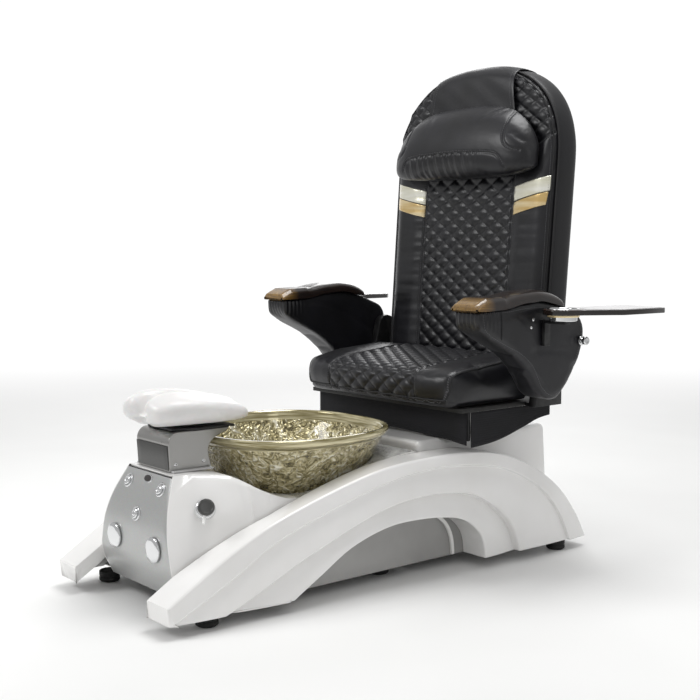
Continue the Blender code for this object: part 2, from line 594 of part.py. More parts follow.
def make_arm(side, label, seat):
    """An armrest with its wooden cap and its tray, on a hinge across the chair."""
    hinge = pivot(f"arm_hinge_{label}", (side * 0.42, *ARM_PIVOT), seat)
    underside = [(0.114, 0.694), (0.155, 0.668), (0.200, 0.646), (0.248, 0.622), (0.312, 0.571), (0.362, 0.503),
                 (0.395, 0.483), (0.428, 0.488), (0.473, 0.530), (0.514, 0.593), (0.535, 0.650), (0.534, 0.690)]
    topline = [(0.516, 0.715), (0.440, 0.744), (0.355, 0.762), (0.275, 0.757), (0.205, 0.744), (0.110, 0.741)]
    low, high = sorted((side * ARM_IN, side * ARM_OUT))
    soften(prism(f"arm_body_{label}", underside + topline, low, high, "X", "black_leather", hinge), 0.006)
    cap = [(y, z + GAP) for y, z in reversed(topline[1:])]
    cap += [(0.448, 0.758), (0.420, 0.778), (0.348, 0.793), (0.276, 0.789), (0.212, 0.772), (0.124, 0.772),
            (0.108, 0.764), (0.102, 0.745)]
    low, high = sorted((side * (ARM_IN - 0.006), side * (ARM_OUT + 0.006)))
    soften(prism(f"arm_cap_{label}", cap, low, high, "X", "walnut_gloss", hinge), 0.004)
    turned(f"arm_knob_{label}", [(0, 0.0006), (0.014, 0.0006), (0.014, 0.004), (0.008, 0.005), (0.008, 0.010),
                                 (0.012, 0.012), (0.012, 0.020), (0, 0.022)],
           (side * ARM_OUT, ARM_PIVOT[0], ARM_PIVOT[1]), (side, 0, 0), "chrome", hinge, steps=16)
    x, y = TRAY_PIVOT
    shape = [(ARM_OUT + GAP, 0.640), (ARM_OUT + 0.012, 0.640), (ARM_OUT + 0.012, 0.702), (x + 0.014, 0.702),
             (x + 0.014, 0.710), (ARM_OUT + GAP, 0.710)]
    prism(f"tray_bracket_{label}", mirrored(shape, side), y - 0.011, y + 0.011, "Y", "black_steel", hinge)
    return hinge


def make_tray(side, label, arm):
    """The tray's board on its swivel, with the cup holder let into its round end."""
    x, y = TRAY_PIVOT
    outline = [(x + 0.055 * math.cos(a), y + 0.055 * math.sin(a))
               for a in (math.radians(step) for step in range(150, 361, 15))]
    outline += [(0.640, 0.440), (0.660, 0.470), (0.664, 0.640), (0.652, 0.660), (0.630, 0.668), (0.520, 0.668),
                (0.502, 0.658), (0.492, 0.640), (0.490, 0.450), (0.489, 0.400)]
    swivel = pivot(f"tray_swivel_{label}", (side * x, y, TRAY_Z), arm)
    board = prism(f"tray_board_{label}", mirrored(outline, side), TRAY_Z, TRAY_Z + 0.014, "Z", "white_laminate",
                  swivel)
    cutter = turned(f"cutter_{label}", [(0, -0.01), (0.038, -0.01), (0.038, 0.03), (0, 0.03)],
                    (side * x, y, TRAY_Z), (0, 0, 1), "chrome", swivel)
    join(board, cutter, "DIFFERENCE")
    top = 0.014 + GAP
    turned(f"cup_holder_{label}", [(0, -0.0175), (0.035, -0.0175), (0.0370, -0.016), (0.0370, top), (0.044, top),
                                   (0.044, top + 0.002), (0.0350, top + 0.002), (0.0345, -0.014), (0, -0.014)],
           (side * x, y, TRAY_Z), (0, 0, 1), "chrome", swivel)


def main():
    clear_scene()
    for side, label in ((-1, "left"), (1, "right")):
        make_fender(side, label)
    make_base_shell()
    make_console_panel()
    make_controls()
    make_mixer()
    make_bowl()
    make_inner_works()
    make_footrest()
    seat = pivot("seat_slide", (0.0, 0.40, 0.40))
    make_seat(seat)
    make_back(pivot("recline_hinge", RECLINE_AXIS, seat))
    for side, label in ((-1, "left"), (1, "right")):
        arm = make_arm(side, label, seat)
        make_tray(side, label, arm)


main()
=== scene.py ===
from math import copysign, cos, exp, hypot, pi, radians, sin, tan

import bmesh
import bpy
import numpy as np
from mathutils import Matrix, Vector, noise
from mathutils.bvhtree import BVHTree


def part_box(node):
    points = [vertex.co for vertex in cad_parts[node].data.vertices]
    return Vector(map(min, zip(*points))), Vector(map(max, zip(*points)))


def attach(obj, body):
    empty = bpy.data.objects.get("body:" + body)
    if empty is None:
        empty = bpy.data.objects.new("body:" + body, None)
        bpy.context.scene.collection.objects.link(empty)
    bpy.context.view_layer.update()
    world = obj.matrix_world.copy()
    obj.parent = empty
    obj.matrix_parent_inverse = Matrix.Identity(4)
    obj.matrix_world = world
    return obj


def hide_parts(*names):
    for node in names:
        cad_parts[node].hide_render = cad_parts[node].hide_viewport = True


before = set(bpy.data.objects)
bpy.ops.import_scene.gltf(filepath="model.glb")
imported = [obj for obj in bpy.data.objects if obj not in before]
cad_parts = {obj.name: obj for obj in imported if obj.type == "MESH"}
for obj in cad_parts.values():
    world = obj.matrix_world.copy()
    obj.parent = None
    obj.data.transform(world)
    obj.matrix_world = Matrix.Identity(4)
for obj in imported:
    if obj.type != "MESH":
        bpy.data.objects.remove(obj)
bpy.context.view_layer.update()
print("frame loaded:", len(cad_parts), "nodes")


def linear(hexColour):
    parts = [int(hexColour[i:i + 2], 16) / 255 for i in (1, 3, 5)]
    return tuple(c / 12.92 if c <= 0.04045 else ((c + 0.055) / 1.055) ** 2.4 for c in parts) + (1.0,)


def addNode(tree, kind, settings=None, links=None):
    # settings are socket values by name or number, or the node's own options; "stops" fills a colour ramp
    node = tree.nodes.new(kind)
    for name, value in (settings or {}).items():
        if name == "stops":
            for index, (position, colour) in enumerate(value):
                stops = node.color_ramp.elements
                stop = stops[index] if index < 2 else stops.new(position)
                stop.position = position
                stop.color = linear(colour)
        elif isinstance(name, int) or name in node.inputs:
            node.inputs[name].default_value = linear(value) if str(value).startswith("#") else value
        else:
            setattr(node, name, value)
    for name, source in (links or {}).items():
        tree.links.new(source, node.inputs[name])
    return node


def startMaterial(name, colour, roughness, metallic=0.0, **sockets):
    # coatWeight=1 sets the shader's "Coat Weight", and so on; gives the places on a piece as well
    made = bpy.data.materials.new(name)
    made.use_nodes = True
    tree = made.node_tree
    shader = tree.nodes["Principled BSDF"]
    shader.inputs["Base Color"].default_value = linear(colour)
    shader.inputs["Roughness"].default_value = roughness
    shader.inputs["Metallic"].default_value = metallic
    for socket, value in sockets.items():
        words = "".join(" " + letter if letter.isupper() else letter for letter in socket)
        shader.inputs[words[0].upper() + words[1:]].default_value = value
    return made, shader, addNode(tree, "ShaderNodeTexCoord").outputs["Object"]


def newObject(name, points, faces, material, smooth=True, outward=None):
    # outward flips an open skin so that it faces that way
    mesh = bpy.data.meshes.new(name)
    mesh.from_pydata([tuple(point) for point in points], [], faces)
    work = bmesh.new()
    work.from_mesh(mesh)
    bmesh.ops.remove_doubles(work, verts=work.verts, dist=1e-6)
    bmesh.ops.dissolve_degenerate(work, edges=work.edges, dist=1e-6)
    bmesh.ops.recalc_face_normals(work, faces=work.faces)
    if outward is not None:
        total = sum((face.normal * face.calc_area() for face in work.faces), Vector())
        if total.dot(Vector(outward)) < 0:
            bmesh.ops.reverse_faces(work, faces=work.faces)
    work.to_mesh(mesh)
    work.free()
    for entry in (material if isinstance(material, list) else [material]):
        mesh.materials.append(entry)
    if smooth:
        mesh.shade_smooth()
        mesh.set_sharp_from_angle(angle=radians(38))
    obj = bpy.data.objects.new(name, mesh)
    bpy.context.scene.collection.objects.link(obj)
    return obj


def gridObject(name, grid, material, wrap=False, around=False, capped=False, **more):
    # grid is rows of points; wrap closes each row, around closes the last row onto the first
    rows, columns = len(grid), len(grid[0])
    faces = []
    for row in range(rows if around else rows - 1):
        after = (row + 1) % rows
        for column in range(columns if wrap else columns - 1):
            following = (column + 1) % columns
            faces.append((row * columns + column, row * columns + following, after * columns + following,
                after * columns + column))
    if capped:
        faces.append(tuple(range(columns))[::-1])
        faces.append(tuple(range((rows - 1) * columns, rows * columns)))
    return newObject(name, [point for row in grid for point in row], faces, material, **more)


def addModifier(obj, kind, **settings):
    modifier = obj.modifiers.new(kind.lower(), kind)
    for name, value in settings.items():
        setattr(modifier, name, value)
    return modifier


def thicken(obj, thickness, offset):
    addModifier(obj, "SOLIDIFY", thickness=thickness, offset=offset, use_rim=True)


def bake(obj):
    # replaces the mesh by what its modifiers make of it
    graph = bpy.context.evaluated_depsgraph_get()
    mesh = bpy.data.meshes.new_from_object(obj.evaluated_get(graph))
    obj.modifiers.clear()
    obj.data = mesh
    return obj


def place(obj, body, slotName, *nodes):
    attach(obj, body)
    if nodes:
        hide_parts(*nodes)
    return obj


def smoothCurve(points, count):
    # evenly numbered points on a Catmull-Rom curve through the given ones
    ends = [points[0]] + list(points) + [points[-1]]
    found = []
    for step in range(count):
        along = step * (len(points) - 1) / (count - 1)
        index = min(int(along), len(points) - 2)
        t = along - index
        p0, p1, p2, p3 = (Vector(point) for point in ends[index:index + 4])
        found.append(0.5 * (2 * p1 + (p2 - p0) * t + (2 * p0 - 5 * p1 + 4 * p2 - p3) * t * t
            + (3 * p1 - p0 - 3 * p2 + p3) * t ** 3))
    return found


def heightOn(curve, y):
    dense = smoothCurve(curve, 160)
    for before, after in zip(dense, dense[1:]):
        if before[0] <= y <= after[0] and after[0] > before[0]:
            return before[1] + (after[1] - before[1]) * (y - before[0]) / (after[0] - before[0])
    return curve[0][1] if y < curve[0][0] else curve[-1][1]


def between(stations, y):
    # smooth value read from (y, value) pairs
    ys, values = zip(*stations)
    y = min(max(y, ys[0]), ys[-1])
    return heightOn([tuple(pair) for pair in zip(ys, values)], y)


def roundCorners(points, radius, steps=4, closed=False):
    points = [Vector(point) for point in points]
    count = len(points)
    found = []
    for index, corner in enumerate(points):
        if not closed and index in (0, count - 1):
            found.append(corner)
            continue
        before, after = points[index - 1], points[(index + 1) % count]
        reach = radius[index] if isinstance(radius, (list, tuple)) else radius
        cut = min(reach, 0.48 * (before - corner).length, 0.48 * (after - corner).length)
        start = corner + (before - corner).normalized() * cut
        end = corner + (after - corner).normalized() * cut
        for step in range(steps + 1):
            t = step / steps
            found.append(start * (1 - t) ** 2 + corner * 2 * t * (1 - t) + end * t * t)
    return found


def circle(radius, sides=8):
    return [(radius * cos(2 * pi * side / sides), radius * sin(2 * pi * side / sides))
        for side in range(sides)]


def sweep(name, route, section, material, up=(0, 0, 1), closed=False, **more):
    # pushes a section, in (sideways, upward) pairs, along a route; up may be one vector or one for each point
    route = [Vector(point) for point in route]
    count = len(route)
    grid = []
    for index, point in enumerate(route):
        before = route[index - 1] if closed or index else point
        after = route[(index + 1) % count] if closed or index < count - 1 else point
        ahead = (after - before).normalized()
        lift = Vector(up[index] if isinstance(up, list) else up)
        side = ahead.cross(lift).normalized()
        lift = side.cross(ahead)
        grid.append([point + side * a + lift * b for a, b in section])
    return gridObject(name, grid, material, wrap=True, around=closed, capped=not closed, **more)


def lathe(name, profile, centre, direction, material, steps=64):
    # profile is (radius, height) pairs; it is closed where it starts and ends on the axis
    turn = Vector((0, 0, 1)).rotation_difference(Vector(direction)).to_matrix()
    grid = []
    for step in range(steps):
        angle = 2 * pi * step / steps
        grid.append([turn @ Vector((r * cos(angle), r * sin(angle), h)) + Vector(centre)
            for r, h in profile])
    onAxis = profile[0][0] < 1e-9 and profile[-1][0] < 1e-9
    return gridObject(name, grid, material, wrap=not onAxis, around=True)


def profileOf(points, radius=0.001, steps=3, closed=False):
    # a lathe profile with its corners rounded
    return [(p.x, p.y) for p in roundCorners([(r, h, 0) for r, h in points], radius, steps, closed)]


def prism(name, outline, low, high, axis, material, edge=0.0, segments=3, **more):
    # an outline in the other two axes, pushed from low to high, with rounded edges
    def put(pair, level):
        point = list(pair)[:2]
        point.insert("XYZ".index(axis), level)
        return point
    grid = [[put(pair, level) for pair in outline] for level in (low, high)]
    obj = gridObject(name, grid, material, wrap=True, capped=True, **more)
    if edge:
        addModifier(obj, "BEVEL", width=edge, segments=segments, limit_method="ANGLE",
            angle_limit=radians(32))
        addModifier(obj, "WEIGHTED_NORMAL", keep_sharp=True)
        bake(obj)
    return obj


def mirrorOf(obj, name):
    # the same piece on the other side of the chair
    mesh = obj.data.copy()
    points = np.empty(len(mesh.vertices) * 3, np.float32)
    mesh.vertices.foreach_get("co", points)
    points = points.reshape(-1, 3)
    points[:, 0] *= -1
    mesh.vertices.foreach_set("co", points.ravel())
    mesh.flip_normals()
    twin = bpy.data.objects.new(name, mesh)
    bpy.context.scene.collection.objects.link(twin)
    return twin


def refine(names, body, material, edge=0.0008):
    # a CAD node whose shape is right: softer edges and its real finish
    for name in names:
        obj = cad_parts[name]
        obj.data.materials.clear()
        obj.data.materials.append(material)
        addModifier(obj, "WELD", merge_threshold=0.00001)
        addModifier(obj, "BEVEL", width=edge, segments=2, limit_method="ANGLE", angle_limit=radians(35))
        obj.data.shade_smooth()
        obj.data.set_sharp_from_angle(angle=radians(40))


def coordinatesOf(obj):
    points = np.empty(len(obj.data.vertices) * 3, np.float32)
    obj.data.vertices.foreach_get("co", points)
    return points.reshape(-1, 3).astype(float)


def normalsOf(obj):
    normals = np.empty(len(obj.data.vertices) * 3, np.float32)
    obj.data.vertices.foreach_get("normal", normals)
    return normals.reshape(-1, 3).astype(float)


def setCoordinates(obj, points):
    obj.data.vertices.foreach_set("co", points.astype(np.float32).ravel())
    obj.data.update()


def puff(obj, voxel, cap, held, pressure=4.0):
    # swells a padded piece by cloth simulation; held(points) says which points stay where they are
    addModifier(obj, "REMESH", mode="VOXEL", voxel_size=voxel)
    bake(obj)
    start = coordinatesOf(obj)
    fixed = held(start)
    group = obj.vertex_groups.new(name="held")
    group.add([int(index) for index in np.flatnonzero(fixed)], 1.0, "REPLACE")
    cloth = addModifier(obj, "CLOTH")
    rules = cloth.settings
    rules.quality = 4
    rules.mass = 0.3
    rules.tension_stiffness = rules.compression_stiffness = 12
    rules.shear_stiffness = 6
    rules.bending_stiffness = 0.6
    rules.use_pressure = True
    rules.uniform_pressure_force = pressure
    rules.effector_weights.gravity = 0
    rules.vertex_group_mass = "held"
    cloth.collision_settings.use_collision = False
    scene = bpy.context.scene
    for step in range(1, 21):
        scene.frame_set(step)
    graph = bpy.context.evaluated_depsgraph_get()
    swollen = obj.evaluated_get(graph)
    moved = np.empty(len(swollen.data.vertices) * 3, np.float32)
    swollen.data.vertices.foreach_get("co", moved)
    step = moved.reshape(-1, 3) - start
    length = np.linalg.norm(step, axis=1, keepdims=True)
    step *= np.minimum(1.0, cap / np.maximum(length, 1e-9))
    obj.modifiers.clear()
    obj.vertex_groups.clear()
    scene.frame_set(1)
    setCoordinates(obj, start + step)
    addModifier(obj, "SMOOTH", factor=0.5, iterations=3)
    addModifier(obj, "SUBSURF", levels=1, render_levels=1)
    bake(obj)
    obj.data.shade_smooth()
    return obj


def surfaceOf(obj):
    graph = bpy.context.evaluated_depsgraph_get()
    return BVHTree.FromObject(obj, graph)


def layOn(surface, points, direction, lift, start=0.2):
    # drops points along a direction onto a surface, and lifts them off it a little
    ahead = Vector(direction).normalized()
    places, normals = [], []
    for point in points:
        hit, normal, _, _ = surface.ray_cast(Vector(point) - ahead * start, ahead)
        if hit is None:
            hit, normal, _, _ = surface.find_nearest(Vector(point))
        if normal.dot(ahead) > 0:
            normal = -normal
        places.append(hit + normal * lift)
        normals.append(normal)
    return places, normals


def evenly(points, pitch):
    # points at even spacing along a polyline
    points = [Vector(point) for point in points]
    lengths = [0.0]
    for before, after in zip(points, points[1:]):
        lengths.append(lengths[-1] + (after - before).length)
    count = max(2, round(lengths[-1] / pitch) + 1)
    found, index = [], 0
    for step in range(count):
        target = lengths[-1] * step / (count - 1)
        while index < len(points) - 2 and lengths[index + 1] < target:
            index += 1
        span = max(lengths[index + 1] - lengths[index], 1e-9)
        found.append(points[index].lerp(points[index + 1], (target - lengths[index]) / span))
    return found


def stitches(name, route, material, pitch=0.007, length=0.0048, radius=0.0008):
    # a row of thread: one short spindle for each stitch
    route = evenly(route, pitch)
    points, faces = [], []
    for before, after in zip(route, route[1:]):
        ahead = (after - before).normalized()
        side = ahead.cross(Vector((0.3, 0.5, 0.81))).normalized()
        lift = side.cross(ahead)
        middle, first = (before + after) / 2, len(points)
        points.append(middle - ahead * length / 2)
        points.append(middle + ahead * length / 2)
        for share in (-0.3, 0.3):
            for a, b in circle(radius, 5):
                points.append(middle + ahead * length * share + side * a + lift * b)
        for index in range(5):
            after5 = (index + 1) % 5
            faces.append((first, first + 2 + after5, first + 2 + index))
            faces.append((first + 2 + index, first + 2 + after5, first + 7 + after5, first + 7 + index))
            faces.append((first + 1, first + 7 + index, first + 7 + after5))
    return newObject(name, points, faces, material)


def noiseOn(at, scale, detail, twist=0.0):
    # value of a fractal noise, read at the given places
    settings = {"Scale": scale, "Detail": detail, "Distortion": twist}
    return addNode(at.id_data, "ShaderNodeTexNoise", settings, {"Vector": at}).outputs["Fac"]


def cellsOn(at, scale, give="Distance", **more):
    # value of a cell pattern, read at the given places
    return addNode(at.id_data, "ShaderNodeTexVoronoi", {"Scale": scale, **more}, {"Vector": at}).outputs[give]


def stretched(at, scale, **more):
    # places scaled by axis, so that what is read there runs long
    return addNode(at.id_data, "ShaderNodeMapping", {"Scale": scale, **more},
        {"Vector": at}).outputs["Vector"]


def tintBy(shader, value, *stops):
    # the colour follows a value through a ramp of (position, colour) stops
    ramp = addNode(shader.id_data, "ShaderNodeValToRGB", {"stops": stops}, {"Fac": value})
    shader.id_data.links.new(ramp.outputs["Color"], shader.inputs["Base Color"])


def dullBy(shader, value, low, high):
    # the roughness follows a value
    span = addNode(shader.id_data, "ShaderNodeMapRange", {"To Min": low, "To Max": high}, {"Value": value})
    shader.id_data.links.new(span.outputs["Result"], shader.inputs["Roughness"])


def bumpBy(shader, height, strength, distance, **over):
    # the surface rises and falls with a value; Normal may name another bump under it
    settings = {"Strength": strength, "Distance": distance}
    bump = addNode(shader.id_data, "ShaderNodeBump", settings, {"Height": height, **over})
    shader.id_data.links.new(bump.outputs["Normal"], shader.inputs["Normal"])


def polishedGelcoat(name="polished white gelcoat", colour="#f8f7f6", shade="#f1f0ee"):
    # sprayed and polished polyester gelcoat: a deep wet gloss over a faint orange peel
    orangePeelMm = 9
    made, shader, at = startMaterial(name, colour, 0.22, coatWeight=0.6, coatRoughness=0.06)
    cloud = noiseOn(at, 6.0, 3.0)
    tintBy(shader, cloud, (0.3, shade), (0.7, colour))
    dullBy(shader, cloud, 0.18, 0.28)
    bumpBy(shader, noiseOn(at, 1000 / orangePeelMm, 1.0), 0.25, 0.0002)
    return made


def crackledResin():
    # clear casting resin poured over crushed silver foil: the flakes are a bump, and the grey to white mottle
    # in its colour is painted glints
    flakeMm = 11
    made, shader, at = startMaterial("crackled clear resin", "#cfcfca", 0.12, 0.35, coatWeight=1.0,
        coatRoughness=0.04)
    tree = shader.id_data
    bend = addNode(tree, "ShaderNodeTexNoise", {"Scale": 45.0, "Detail": 4.0, "Distortion": 1.5},
        {"Vector": at})
    warped = addNode(tree, "ShaderNodeMixRGB", {"Fac": 0.09}, {"Color1": at, "Color2": bend.outputs["Color"]})
    # painted glints: the colour runs from grey to white by noise
    tintBy(shader, bend.outputs["Fac"], (0.0, "#9b9b98"), (1.0, "#ffffff"), (0.4, "#d2d2cf"),
        (0.62, "#ececea"))
    bumpBy(shader, cellsOn(warped.outputs["Color"], 1000 / flakeMm, feature="F1"), 0.9, 0.003)
    return made


def silverPaint():
    # sprayed aluminium-flake paint under lacquer: an even satin grey with a fine sparkle
    flakeMm = 2.5  # the real flake is under 0.1 mm, so it is drawn coarser to show
    made, shader, at = startMaterial("silver flake paint", "#b9bab9", 0.34, 0.55, coatWeight=0.3,
        coatRoughness=0.12)
    tree = shader.id_data
    flake = cellsOn(at, 1000 / flakeMm, "Color")
    tint = addNode(tree, "ShaderNodeMixRGB", {"Fac": 0.05, "Color1": "#b9bab9"}, {"Color2": flake})
    tree.links.new(tint.outputs["Color"], shader.inputs["Base Color"])
    dullBy(shader, noiseOn(at, 14.0, 3.0), 0.28, 0.40)
    return made


def brushedSteel(name="brushed stainless steel", colour="#a5a4a2", along=(1, 12, 12), roughness=0.30):
    # stainless sheet brushed one way: fine streaks that stretch each highlight across them
    streakMm = 3
    made, shader, at = startMaterial(name, colour, roughness, 1.0)
    streak = noiseOn(stretched(at, tuple(1000 / streakMm * s / 12 for s in along)), 1.0, 4.0)
    dullBy(shader, streak, roughness - 0.08, roughness + 0.12)
    bumpBy(shader, streak, 0.2, 0.0001)
    return made


def chromePlate():
    # bright chromium plate: a mirror with faint wiping marks
    made, shader, at = startMaterial("bright chrome plate", "#e4e5e6", 0.06, 1.0)
    dullBy(shader, noiseOn(at, 60.0, 4.0), 0.04, 0.12)
    return made


def goldGlassResin():
    # tinted casting resin moulded against crumpled foil: olive gold, with painted pale highlights and painted
    # brown shade in its colour; the crinkles themselves are a bump
    dentMm, wrinkleMm = 60, 19
    made, shader, at = startMaterial("crinkled gold resin", "#c0b383", 0.10, 0.42, coatWeight=1.0,
        coatRoughness=0.03)
    bend = noiseOn(at, 1000 / dentMm, 5.0, 2.2)
    fine = noiseOn(at, 1000 / wrinkleMm, 1.5, 1.6)
    both = addNode(shader.id_data, "ShaderNodeMath", {"operation": "MULTIPLY"}, {0: bend, 1: fine})
    # painted light: the ramp's pale stops are painted highlights and its brown stops are painted shade, laid
    # on by noise
    tintBy(shader, both.outputs["Value"], (0.12, "#5a5130"), (0.44, "#fdfaea"), (0.19, "#9d9266"),
        (0.28, "#cbc198"))
    bumpBy(shader, fine, 1.0, 0.013)
    return made


def goldLipResin():
    # the same resin where it is buffed along the lip: clear and smooth, with soft honey streaks
    made, shader, at = startMaterial("buffed gold resin lip", "#b8ac7a", 0.08, 0.4, coatWeight=1.0,
        coatRoughness=0.02)
    streak = noiseOn(stretched(at, (9.0, 9.0, 160.0)), 1.0, 3.0)
    tintBy(shader, streak, (0.35, "#8a7f50"), (0.65, "#e4dbb4"))
    return made


def blackRubber():
    # moulded nitrile rubber: matt black, greyed a little where it is scuffed
    made, shader, at = startMaterial("moulded black rubber", "#141414", 0.7)
    scuff = noiseOn(at, 90.0, 5.0)
    tintBy(shader, scuff, (0.45, "#101010"), (0.8, "#2c2c2b"))
    bumpBy(shader, scuff, 0.4, 0.0004)
    return made


def powderCoat(name="black powder-coated steel", colour="#161617", roughness=0.42):
    # baked powder on steel: a satin black with an even, fine pebble
    pebbleMm = 2.5
    made, shader, at = startMaterial(name, colour, roughness, 0.2)
    tintBy(shader, noiseOn(at, 30.0, 6.0), (0.5, colour), (0.85, "#3a3a3a"))
    bumpBy(shader, noiseOn(at, 1000 / pebbleMm, 2.0), 0.4, 0.0003)
    return made


def paintedBoard():
    # plywood under matt black paint: the grain still stands through it
    made, shader, at = startMaterial("black painted plywood", "#131312", 0.6)
    grain = noiseOn(stretched(at, (14.0, 120.0, 120.0)), 1.0, 5.0)
    tintBy(shader, grain, (0.35, "#0e0e0d"), (0.75, "#22211f"))
    bumpBy(shader, grain, 0.5, 0.0004)
    return made


def blackLeather(name="black upholstery leather", colour="#0a0a0d", light="#14141a", roughness=0.36):
    # embossed and finished upholstery leather: a soft satin black with a pebbled grain and faint creases
    grainMm, creaseMm = 3.0, 45  # the real grain is about 1 mm, so it is drawn coarser to show
    made, shader, at = startMaterial(name, colour, roughness, sheenWeight=0.05, sheenRoughness=0.4,
        coatWeight=0.06, coatRoughness=0.28, coatTint=linear("#e8e8f4"))
    cloud = noiseOn(at, 9.0, 4.0)
    tintBy(shader, cloud, (0.35, colour), (0.75, light))
    dullBy(shader, cloud, roughness - 0.06, roughness + 0.10)
    grain = cellsOn(at, 1000 / grainMm, feature="DISTANCE_TO_EDGE")
    pebble = addNode(shader.id_data, "ShaderNodeBump", {"Strength": 0.22, "Distance": 0.0005},
        {"Height": grain})
    bumpBy(shader, noiseOn(at, 1000 / creaseMm, 6.0, 0.6), 0.35, 0.002, Normal=pebble.outputs["Normal"])
    return made


def wovenSkirt():
    # plain-woven black polyester: matt, with a thread grid and slightly uneven dye
    threadMm = 3.2  # the real threads are finer, so they are drawn coarser to show
    made, shader, at = startMaterial("woven black polyester", "#0d0d11", 0.9, sheenWeight=0.04,
        sheenRoughness=0.5)
    tree = shader.id_data
    waves = []
    for axis in ("X", "Y", "Z"):
        settings = {"Scale": 1000 / threadMm / 6.28, "bands_direction": axis, "Distortion": 0.6,
            "Detail": 1.0}
        waves.append(addNode(tree, "ShaderNodeTexWave", settings, {"Vector": at}).outputs["Fac"])
    level = addNode(tree, "ShaderNodeMath", {"operation": "MAXIMUM"}, {0: waves[0], 1: waves[1]})
    weave = addNode(tree, "ShaderNodeMath", {"operation": "MULTIPLY"},
        {0: level.outputs["Value"], 1: waves[2]})
    tintBy(shader, noiseOn(at, 12.0, 5.0), (0.3, "#0a0a0d"), (0.8, "#15151a"))
    bumpBy(shader, weave.outputs["Value"], 0.5, 0.0005)
    return made


def whiteVinyl():
    # soft-touch PVC skin over foam: clean white, a low sheen and a very light grain
    grainMm = 3.0
    made, shader, at = startMaterial("white upholstery vinyl", "#e9e8e7", 0.36, coatWeight=0.15,
        coatRoughness=0.2, subsurfaceWeight=0.05)
    tintBy(shader, noiseOn(at, 20.0, 3.0), (0.3, "#e3e2e1"), (0.7, "#ebeae9"))
    bumpBy(shader, cellsOn(at, 1000 / grainMm, feature="DISTANCE_TO_EDGE"), 0.08, 0.0004)
    return made


def lacqueredWalnut():
    # walnut burst-stained from amber at the tip to near black behind, under thick polyester lacquer
    grainMm = 5
    made, shader, at = startMaterial("lacquered walnut", "#2a1408", 0.35, coatWeight=0.55, coatRoughness=0.05)
    tree = shader.id_data
    grain = noiseOn(stretched(at, (1000 / grainMm, 9.0, 1000 / grainMm)), 1.0, 6.0, 1.4)
    stains = [addNode(tree, "ShaderNodeValToRGB", {"stops": stops}, {"Fac": grain}).outputs["Color"]
        for stops in ([(0.25, "#4b3414"), (0.75, "#a8853c"), (0.5, "#7a5a24")],
        [(0.3, "#0b0503"), (0.75, "#221108")])]
    where = addNode(tree, "ShaderNodeSeparateXYZ", {}, {"Vector": at})
    back = addNode(tree, "ShaderNodeMapRange", {"From Min": 0.115, "From Max": 0.165},
        {"Value": where.outputs["Y"]})
    burst = addNode(tree, "ShaderNodeMixRGB", {}, {"Fac": back.outputs["Result"], "Color1": stains[0],
        "Color2": stains[1]})
    tree.links.new(burst.outputs["Color"], shader.inputs["Base Color"])
    bumpBy(shader, grain, 0.1, 0.0003)
    return made


def foilLeather(name, low, high):
    # metallic foil transferred onto leather: pale and mirror-like, with long soft streaks
    made, shader, at = startMaterial(name, high, 0.24, 0.45, coatWeight=0.5, coatRoughness=0.1)
    streak = noiseOn(stretched(at, (7.0, 7.0, 60.0), Rotation=(0.0, 0.18, 0.0)), 1.0, 3.0)
    tintBy(shader, streak, (0.35, low), (0.65, high))
    bumpBy(shader, streak, 0.25, 0.001)
    return made


def glossLaminate(name, colour, shade, roughness=0.12, coat=0.6):
    # high-pressure laminate: flat, hard and glossy, with faint rub marks
    made, shader, at = startMaterial(name, colour, roughness, coatWeight=coat, coatRoughness=0.05)
    rub = noiseOn(at, 25.0, 6.0)
    tintBy(shader, rub, (0.3, shade), (0.7, colour))
    dullBy(shader, rub, roughness, roughness + 0.12)
    return made


def bondedThread(name="grey bonded thread", colour="#6d6d70"):
    # bonded nylon thread and welt cord: a dull grey line with a twist in it
    twistMm = 2
    made, shader, at = startMaterial(name, colour, 0.6)
    tree = shader.id_data
    twist = addNode(tree, "ShaderNodeTexNoise", {"Scale": 1000 / twistMm, "Detail": 2.0}, {"Vector": at})
    tint = addNode(tree, "ShaderNodeMixRGB", {"blend_type": "MULTIPLY", "Fac": 0.4, "Color1": colour},
        {"Color2": twist.outputs["Color"]})
    tree.links.new(tint.outputs["Color"], shader.inputs["Base Color"])
    bumpBy(shader, twist.outputs["Fac"], 0.5, 0.0004)
    return made


def sew(name, route, body):
    # a seam's thread in the leather of the seat or the back
    return place(stitches(name, route, thread, radius=0.0006), body, "black_leather")


gelcoat = polishedGelcoat()
# grey gelcoat for the arch linings: the grey is painted shade of the recess
paintedShadeGelcoat = polishedGelcoat("grey gelcoat", "#a3a2a0", "#949391")
flakeResinPaintedGlints = crackledResin()
panelPaint = silverPaint()
steel = brushedSteel()
darkSteel = brushedSteel("dark brushed steel", "#5f5f5e", (12, 1, 12), 0.34)
chrome = chromePlate()
goldResinPaintedGlints = goldGlassResin()
goldLip = goldLipResin()
rubber = blackRubber()
blackSteel = powderCoat()
blackPlastic = powderCoat("moulded black ABS", "#101011", 0.3)
board = paintedBoard()
leather = blackLeather()
backLeather = blackLeather("black boxing leather", "#08080b", "#101015", 0.5)
skirtCloth = wovenSkirt()
vinyl = whiteVinyl()
walnut = lacqueredWalnut()
champagne = foilLeather("champagne foil leather", "#e9e6cf", "#fbfaf0")
goldFoil = foilLeather("gold foil leather", "#d9b877", "#f3e0b4")
laminate = glossLaminate("white gloss laminate", "#d2d1d2", "#c4c3c4", 0.3, 0.15)
whiteLever = glossLaminate("white moulded lever", "#eeeeec", "#e4e4e2")
darkEdge = glossLaminate("black edge band", "#120d0b", "#1d130e", 0.18)
brownRing = glossLaminate("brown moulded ring", "#2c1409", "#3d1f10", 0.2)
thread = bondedThread()
blackThread = bondedThread("black welt cord", "#1b1b1d")
print("materials ready:", len(bpy.data.materials))


